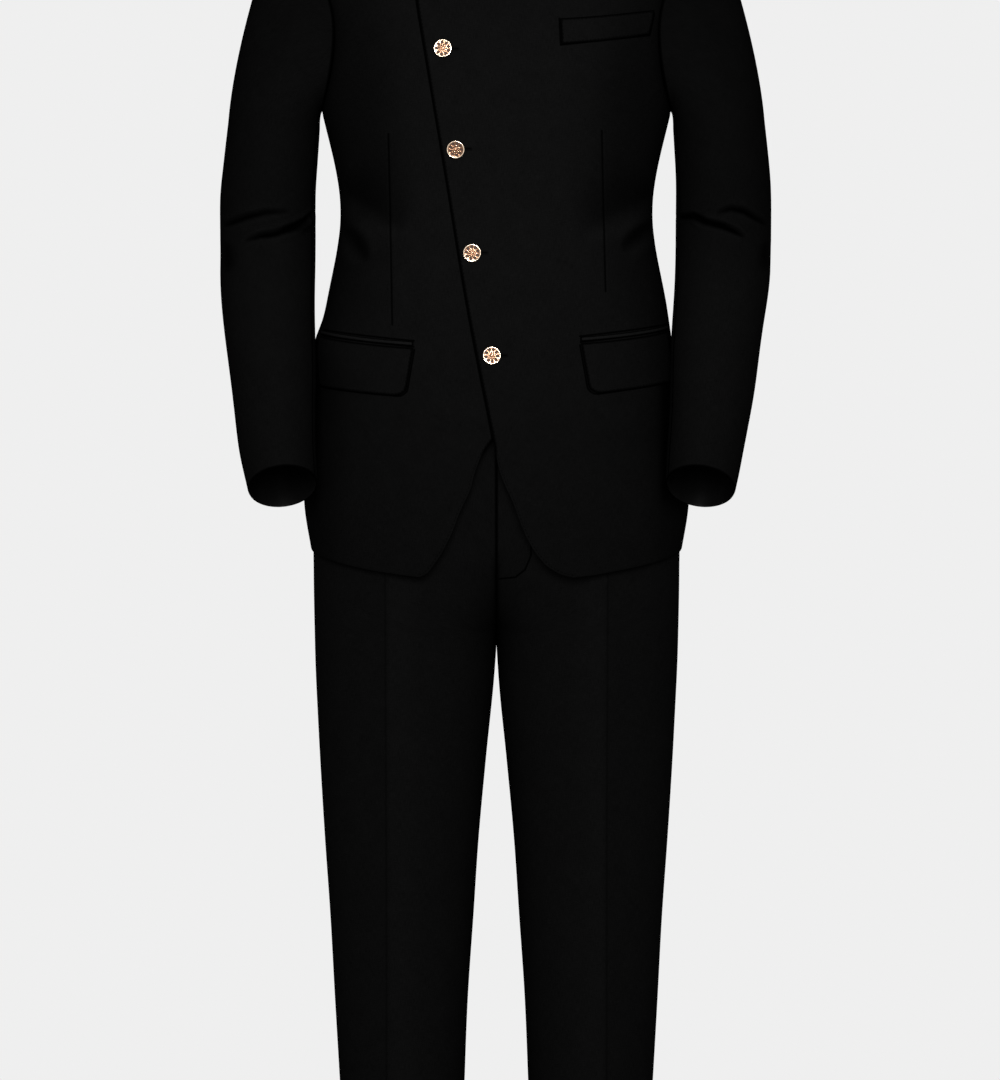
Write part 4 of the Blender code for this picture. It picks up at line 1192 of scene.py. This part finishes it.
class SUIT_OT_collar(bpy.types.Operator):
    """Makes the stand collar on the neck's edge"""

    bl_idname = "suit.collar"
    bl_label = "Collar"

    def execute(self, context):
        look = context.scene.suit.cloth
        edged = finish_named("wool_edged", wool, look, stitched=True)
        top = np.array([NECK_UP])
        front_limit = float(side_limit(top, np.array([-1.0]), True)[0])
        back_limit = float(side_limit(top, np.array([-1.0]), False)[0])
        middle = math.pi / 2
        runs = (
            (1, np.linspace(float(turn_where(top, 1, over_x)[0]), front_limit, 40)),
            (1, -np.linspace(back_limit, middle, 40)),
            (-1, -np.linspace(middle, back_limit, 40)[1:]),
            (-1, np.linspace(front_limit, float(turn_where(top, -1, lap_start_x)[0]), 40)),
        )
        base = np.concatenate([
            mirrored(jacket_surface(NECK_UP, turns), side) if turns[0] < 0 or turns[-1] < 0
            else front_cloth(side, np.full_like(turns, NECK_UP), turns)[0]
            for side, turns in runs
        ])
        line, along, length = even_line(base, 190)
        out = unit(line * np.array((1.0, 1.0, 0.0)))
        from_end = np.minimum(along, length - along)
        cut = np.maximum(0.0, COLLAR_ROUND - from_end)
        height = COLLAR_HEIGHT - (COLLAR_ROUND - np.sqrt(COLLAR_ROUND ** 2 - cut ** 2))
        rows = shares(COLLAR_HEIGHT, 18)[:, None]
        grid = line[None] - out[None] * (COLLAR_LEAN * rows)[..., None]
        grid[..., 2] += height[None] * rows - COLLAR_TUCK * (1 - rows)
        free = ("start", "end", "high")
        cloth_piece("collar", grid, upright_middle(grid), COLLAR_CLOTH, (edged, edged),
                    roll=0.0010,
                    rolled=free, stitched=free)
        return {"FINISHED"}


def laid_grid(side, corners, rows, columns, lift, rounding):
    """Places laid on a front between four corners in x and z: low inner, low outer, top inner
    and top outer. The low corners can be rounded."""
    spots = [np.array(spot(x, z)) for x, z in corners]
    length, height = math.dist(corners[0], corners[1]), math.dist(corners[0], corners[2])
    u, v = columns[None, :, None], rows[:, None, None]
    from_end = np.minimum(columns, 1 - columns) * length
    cut = np.maximum(0.0, rounding - from_end)
    lost = ((rounding - np.sqrt(np.maximum(0.0, rounding ** 2 - cut ** 2))) / height)[None, :, None]
    low = spots[0] + (spots[1] - spots[0]) * u
    top = spots[2] + (spots[3] - spots[2]) * u
    low = low + (top - low) * lost
    where = low + (top - low) * v
    place, out, painted_shading = front_cloth(side, where[..., 0], where[..., 1])
    return place + out * lift, painted_shading


class SUIT_OT_pockets(bpy.types.Operator):
    """Makes the pocket flaps, the jets above them and the breast welt"""

    bl_idname = "suit.pockets"
    bl_label = "Pockets"

    def execute(self, context):
        look = context.scene.suit.cloth
        edged = finish_named("wool_edged", wool, look, stitched=True)
        # the jets are a lighter copy of the wool, a painted highlight on their rounded faces, with painted shade
        # along their edges
        plain = finish_named("wool_jet", wool, look, edge=(0.0008, 0.0019), tone=1.75)
        for label, side in SIDES:
            self.flap(f"flap_{label}", side, edged)
            self.jet(f"jet_{label}", side, plain)
        rows, columns = shares(0.026, 12), shares(0.098, 46)
        grid, painted_shading = laid_grid(1, WELT, rows, columns, PROUD_GAP + POCKET_CLOTH, 0.0)
        puff = 0.0005 * np.sin(np.pi * rows)[:, None] * np.ones(len(columns))
        self.lay("breast_welt", 1, grid, painted_shading, POCKET_CLOTH, edged, ALL_SIDES, puff)
        return {"FINISHED"}

    def flap(self, node, side, finish):
        rows, columns = shares(0.052, 26), shares(0.092, 46)
        grid, painted_shading = laid_grid(side, FLAPS[side], rows, columns, PROUD_GAP + POCKET_CLOTH, FLAP_ROUND)
        hang = (1 - rows)[:, None] ** 2 * np.sin(np.pi * columns)[None, :] ** 0.5
        wave = 0.0003 * np.sin(columns * 9 + side)[None, :] * (1 - rows)[:, None]
        self.lay(node, side, grid, painted_shading, POCKET_CLOTH, finish, ("start", "end", "low"), 0.0009 * hang + wave)

    def jet(self, node, side, finish):
        rows, columns = np.linspace(0, 1, 11), shares(0.092, 40)
        grid, painted_shading = laid_grid(side, JETS[side], rows, columns, PROUD_GAP + JET_CLOTH, 0.0)
        rounded = np.sqrt(np.maximum(0.0, 1 - (2 * rows - 1) ** 2))[:, None]
        self.lay(node, side, grid, painted_shading, JET_CLOTH, finish, (), 0.0012 * rounded * np.ones(len(columns)), roll=0.0003)

    def lay(self, node, side, grid, painted_shading, thickness, finish, stitched, bulge, roll=0.0008):
        cloth_piece(node, grid, upright_middle(grid), thickness, (finish, finish),
                    roll=roll, stitched=stitched, bulge=bulge, facts={"painted_shading": painted_shading})


class SUIT_OT_buttons(bpy.types.Operator):
    """Makes the metal buttons with their sunk petals"""

    bl_idname = "suit.buttons"
    bl_label = "Buttons"

    RINGS = (
        # radius and height as shares of the button's radius, from the middle over the rim to the back
        (0.00, 0.36), (0.05, 0.36), (0.10, 0.35), (0.145, 0.32), (0.18, 0.27), (0.21, 0.235),
        (0.24, 0.230), (0.28, 0.230), (0.32, 0.228), (0.36, 0.226), (0.40, 0.224), (0.44, 0.222),
        (0.48, 0.220), (0.52, 0.219), (0.56, 0.218), (0.60, 0.218), (0.64, 0.218), (0.68, 0.219),
        (0.72, 0.220), (0.76, 0.222), (0.80, 0.227), (0.83, 0.240), (0.855, 0.268), (0.875, 0.303),
        (0.895, 0.332), (0.92, 0.348), (0.945, 0.346), (0.97, 0.322), (0.99, 0.275), (1.00, 0.220), (0.99, 0.150),
        (0.95, 0.090), (0.88, 0.050), (0.60, 0.012), (0.30, 0.000), (0.00, 0.000),
    )
    AROUND = 144
    TURN = 0.37            # how far each button is turned on from the last
    FACE_LEVEL = 0.16      # the pattern is sunk in what lies above this share of the radius
    SINK = 0.075

    def execute(self, context):
        look = context.scene.suit.button
        metal = finish_named("rose_gold_metal", rose_gold, look)
        for number, (x, z) in enumerate(button_spots(), start=1):
            up, turn = spot(x, z)
            place, out, _ = front_cloth(1, up, turn)
            self.make(number, Vector(place), Vector(out), look, metal)
        return {"FINISHED"}

    def make(self, number, place, out, look, metal):
        bm = bmesh.new()
        verts = [bm.verts.new((radius, 0.0, height)) for radius, height in self.RINGS]
        edges = [bm.edges.new(pair) for pair in zip(verts, verts[1:])]
        bmesh.ops.spin(bm, geom=verts + edges, cent=(0, 0, 0), axis=(0, 0, 1), angle=math.tau,
                       steps=self.AROUND, use_merge=True)
        bmesh.ops.remove_doubles(bm, verts=bm.verts, dist=1e-5)
        sunk = bm.verts.layers.float.new("sunk")
        warm = bm.verts.layers.float.new("warm")
        for vert in bm.verts:
            radius = math.hypot(vert.co.x, vert.co.y)
            angle = math.atan2(vert.co.y, vert.co.x) + number * self.TURN
            depth = self.pattern(radius, angle, look.petals) if vert.co.z > self.FACE_LEVEL else 0.0
            vert[sunk] = depth
            vert[warm] = 1.0 - float(ease(0.83, 0.89, radius))
            vert.co.z -= self.SINK * depth
        bmesh.ops.scale(bm, verts=bm.verts, vec=(look.radius,) * 3)
        bmesh.ops.transform(bm, verts=bm.verts, matrix=out.to_track_quat("Z", "Y").to_matrix().to_4x4())
        bmesh.ops.translate(bm, verts=bm.verts, vec=place + out * PROUD_GAP)
        bmesh.ops.recalc_face_normals(bm, faces=bm.faces)
        mesh = bpy.data.meshes.new(f"button_{number}_metal")
        bm.to_mesh(mesh)
        bm.free()
        mesh.shade_smooth()
        mesh.materials.append(metal)
        piece = bpy.data.objects.new(mesh.name, mesh)
        bpy.context.collection.objects.link(piece)
        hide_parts(f"button_{number}")
        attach(piece, "root")

    def pattern(self, radius, angle, petals):
        """How deep the pattern sinks the face here, from 0 to 1."""
        around = (angle * petals / math.tau) % 1.0 - 0.5
        across = around * math.tau * radius / petals
        petal = math.hypot((radius - 0.635) / 0.170, across / 0.165)
        dot_around = (angle * petals / math.tau + 0.5) % 1.0 - 0.5
        small = math.hypot((radius - 0.345) / 0.075, dot_around * math.tau * radius / petals / 0.075)
        ring = 0.45 * math.exp(-(((radius - 0.215) / 0.018) ** 2))
        inner_edge = 0.5 * math.exp(-(((radius - 0.845) / 0.016) ** 2))
        sunk = 1.0 - float(ease(0.80, 1.05, petal))
        dots = 1.0 - float(ease(0.70, 1.15, small))
        return max(sunk, dots, ring, inner_edge)


class SUIT_OT_trousers(bpy.types.Operator):
    """Makes the trousers' four leg panels and their waistband"""

    bl_idname = "suit.trousers"
    bl_label = "Trousers"

    def execute(self, context):
        look = context.scene.suit.cloth
        plain = finish_named("wool_trouser", wool, look, pressed_line=True, tone=1.08)
        fly = finish_named("wool_trouser_fly", wool, look, topstitch=(FLY_STITCH,), pressed_line=True, tone=1.08)
        tops = {}
        for label, side in SIDES:
            front = fly if side > 0 else plain
            tops["front", side] = self.leg(f"trouser_front_{label}", side, 0.0, (front, plain))
            tops["back", side] = self.leg(f"trouser_back_{label}", side, 0.5, (plain, plain))
        self.waistband(tops, plain)
        return {"FINISHED"}

    def leg(self, node, side, start, finishes):
        z = np.concatenate([
            HEM_Z + np.array(EDGE_STEPS), np.linspace(HEM_Z + 0.012, -0.905, 84),
            np.linspace(-0.898, CROTCH_Z - 0.003, 22), np.linspace(CROTCH_Z + 0.001, FORK_TOP_Z, 42),
            np.linspace(-0.636, WAIST_Z, 12),
        ])[:, None]
        share = 0.5 * shares(0.21, 60)
        beside = CREASE_SHARE + np.array((-0.010, -0.006, -0.003, 0.0, 0.003, 0.006, 0.010))
        share = np.sort(np.concatenate([share, beside]))[None, :]
        bent = 4 * share * (0.5 - share) / (4 * CREASE_SHARE * (0.5 - CREASE_SHARE))
        share = share + (self.crease_at(z, start) - CREASE_SHARE) * bent
        share = share if start == 0 else 1 - share[:, ::-1]
        grid = leg_surface(z, share)
        grid[..., 0] = np.maximum(grid[..., 0], SEAM_GAP / 2)
        way = -1.0 if start == 0 else 1.0
        below = z[:, 0] <= CROTCH_Z
        grid[:, -1 if start == 0 else 0, 1] += way * SEAM_GAP / 2
        grid[below, 0 if start == 0 else -1, 1] += way * SEAM_GAP / 2
        middle = np.stack([
            0 * z + np.where(z > CROTCH_Z, 0.085, (LEG.at("outer", z) + LEG.at("inner", z)) / 2), 0 * z, z,
        ], axis=-1)
        grid, middle = mirrored(grid, side), mirrored(middle, side)
        across, _ = cloth_lengths(grid)
        ways = np.abs(grid[..., 0])
        if start:
            ways, across = ways[:, ::-1], across[:, ::-1]
        at_crease = np.array([np.interp(CREASE_X, way_out, line) for way_out, line in zip(ways, across)])[:, None]
        press = (at_crease - across) if start == 0 else (across - at_crease)[:, ::-1]
        far = np.abs(press)
        ridge = RIDGE_RISE * np.exp(-((far / RIDGE_WIDTH) ** 2)) + CREST_RISE * np.exp(-far / CREST_WIDTH)
        ridge = ridge * (0.35 + 0.65 * (1 - ease(-0.860, -0.640, z)))
        ripple = 0.0007 * np.sin(7 * z + 2.6 * side) * np.sin(22 * grid[..., 0] + 5 * z)
        ripple = ripple * (1 - ease(-0.90, -0.80, z))
        piece_grid = grid + grid_normals(grid, middle) * (ripple + ridge)[..., None]
        outside = "end" if start == 0 else "start"
        x, low = piece_grid[..., 0], 1 - ease(-0.745, -0.700, z)
        # painted shade along the middle of the trousers round the crotch, with a faint wide halo
        painted_shading = low * (0.80 * np.exp(-((x / 0.0032) ** 2)) + 0.08 * np.exp(-((x / 0.020) ** 2)))
        painted_shading = painted_shading * ease(-0.860, -0.820, z)
        cloth_piece(node, piece_grid, middle, TROUSER_CLOTH, finishes,
                    rolled=(outside, "low"), facts={"press": press, "painted_shading": painted_shading})
        return piece_grid[-1]

    def crease_at(self, z, start):
        """The share of a panel, from the inseam, at which its pressed crease lies."""
        share = np.linspace(0.02, 0.48, 120)
        places = leg_surface(z, (share if start == 0 else 1 - share)[None, :])[..., 0]
        return np.array([np.interp(CREASE_X, line, share) for line in places])[:, None]

    def waistband(self, tops, finish):
        order = (("front", 1, False), ("back", 1, False), ("back", -1, True), ("front", -1, True))
        base = np.concatenate([
            tops[half, side][::-1] if backwards else tops[half, side] for half, side, backwards in order
        ])
        line, _, _ = even_line(base, 200)
        out = unit(line * np.array((1.0, 1.0, 0.0)))
        rows = shares(WAISTBAND_HEIGHT, 8)[:, None]
        grid = line[None] - out[None] * (WAISTBAND_LEAN * rows)[..., None]
        grid[..., 2] += SEAM_GAP + WAISTBAND_HEIGHT * rows
        cloth_piece("waistband", grid, upright_middle(grid), WAISTBAND_CLOTH, (finish, finish),
                    facts={"press": np.ones(grid.shape[:2])})


class SUIT_OT_stage(bpy.types.Operator):
    """Makes the pale floor, the soft lights and the camera"""

    bl_idname = "suit.stage"
    bl_label = "Stage"

    def execute(self, context):
        look = context.scene.suit.stage
        self.floor(look)
        world = bpy.data.worlds.new("pale_room")
        world.use_nodes = True
        world.node_tree.nodes["Background"].inputs[0].default_value = (*look.backdrop_colour, 1.0)
        context.scene.world = world
        self.light("key_light", KEY_PLACE, LIGHT_AIM, LIGHT_SIZE, look.key_power)
        self.light("back_light", BACK_PLACE, LIGHT_AIM, LIGHT_SIZE, look.back_power)
        self.spot_light("chest_light", CHEST_LIGHT_PLACE, CHEST_LIGHT_AIM, CHEST_BEAM, look.chest_power)
        camera = bpy.data.cameras.new("photo_camera")
        camera.lens = look.lens
        camera.clip_end = 100.0
        eye = bpy.data.objects.new("photo_camera", camera)
        eye.location = CAMERA_PLACE
        eye.rotation_euler = (math.radians(CAMERA_TILT), 0.0, 0.0)
        context.scene.collection.objects.link(eye)
        context.scene.camera = eye
        context.scene.view_settings.view_transform = "Standard"
        return {"FINISHED"}

    def floor(self, look):
        """A round floor, lit near the suit and as bright as the room further out."""
        bm = bmesh.new()
        bmesh.ops.create_circle(bm, cap_ends=True, segments=96, radius=FLOOR_RADIUS)
        bmesh.ops.translate(bm, verts=bm.verts, vec=(0.0, 0.0, HEM_Z - FLOOR_DROP))
        mesh = bpy.data.meshes.new("floor")
        bm.to_mesh(mesh)
        bm.free()
        made = Recipe("pale_floor")
        x, y, _ = made.place()
        near = 1.0 - (x * x + y * y).root().between(FLOOR_LIT, FLOOR_UNLIT)
        grain = made.noise(x * 60.0, y * 60.0)
        room = look.backdrop_colour[0]
        lit = room + self.fall(x, y, KEY_PLACE, look.key_power) + self.fall(x, y, BACK_PLACE, look.back_power)
        share = room / lit
        joined = made.add("ShaderNodeCombineXYZ", values={0: share, 1: share, 2: share})
        pale = made.mixed(near, (0.0, 0.0, 0.0, 1.0), joined.outputs[0])
        glow = made.mixed(near, (*look.backdrop_colour, 1.0), (0.0, 0.0, 0.0, 1.0))
        made.feed(made.shader.inputs["Base Color"], pale)
        made.feed(made.shader.inputs["Emission Color"], glow)
        made.shader.inputs["Emission Strength"].default_value = 1.0
        made.shader.inputs["Specular IOR Level"].default_value = 0.0
        made.feed(made.shader.inputs["Roughness"], 0.85 + 0.1 * grain)
        mesh.materials.append(made.material)
        floor = bpy.data.objects.new("floor", mesh)
        bpy.context.collection.objects.link(floor)

    def fall(self, x, y, place, power):
        """The light that falls on the floor here from one of the large lights."""
        high = place[2] - HEM_Z
        ahead = Vector(LIGHT_AIM) - Vector(place)
        ahead.normalize()
        far = (x - place[0]) * (x - place[0]) + (y - place[1]) * (y - place[1]) + high * high
        towards = ((y - place[1]) * ahead.y - high * ahead.z).most(0.0)
        return towards * (power / math.pi ** 2 * high) / (far * far)

    def light(self, name, place, aim, size, power):
        lamp = bpy.data.lights.new(name, "AREA")
        lamp.shape = "DISK"
        lamp.size = size
        self.hang(lamp, place, aim, power)

    def spot_light(self, name, place, aim, degrees, power):
        lamp = bpy.data.lights.new(name, "SPOT")
        lamp.spot_size = math.radians(degrees)
        lamp.spot_blend = 1.0
        lamp.shadow_soft_size = 0.15
        self.hang(lamp, place, aim, power)

    def hang(self, lamp, place, aim, power):
        lamp.energy = power
        held = bpy.data.objects.new(lamp.name, lamp)
        held.location = place
        held.rotation_euler = (Vector(aim) - Vector(place)).to_track_quat("-Z", "Y").to_euler()
        held.visible_camera = False
        bpy.context.scene.collection.objects.link(held)


class SUIT_PT_panel(bpy.types.Panel):
    """The suit's sizes, colours and pieces"""

    bl_idname = "SUIT_PT_panel"
    bl_label = "Suit"
    bl_space_type = "VIEW_3D"
    bl_region_type = "UI"
    bl_category = "Suit"

    def draw(self, context):
        suit = context.scene.suit
        for title, look in (("Cloth", suit.cloth), ("Buttons", suit.button), ("Stage", suit.stage)):
            box = self.layout.box()
            box.label(text=title)
            for key in look.__annotations__:
                box.prop(look, key)
        for operator in OPERATORS:
            self.layout.operator(operator.bl_idname)


OPERATORS = (
    SUIT_OT_fronts,
    SUIT_OT_backs,
    SUIT_OT_sleeves,
    SUIT_OT_collar,
    SUIT_OT_pockets,
    SUIT_OT_buttons,
    SUIT_OT_trousers,
    SUIT_OT_stage,
)
CLASSES = (SuitClothLook, SuitButtonLook, SuitStageLook, SuitSettings, *OPERATORS, SUIT_PT_panel)


def register():
    for each in CLASSES:
        bpy.utils.register_class(each)
    bpy.types.Scene.suit = PointerProperty(type=SuitSettings)


def unregister():
    del bpy.types.Scene.suit
    for each in reversed(CLASSES):
        bpy.utils.unregister_class(each)


def main():
    register()
    bpy.ops.suit.fronts()
    bpy.ops.suit.backs()
    bpy.ops.suit.sleeves()
    bpy.ops.suit.collar()
    bpy.ops.suit.pockets()
    bpy.ops.suit.buttons()
    bpy.ops.suit.trousers()
    bpy.ops.suit.stage()


if __name__ == "__main__":
    main()
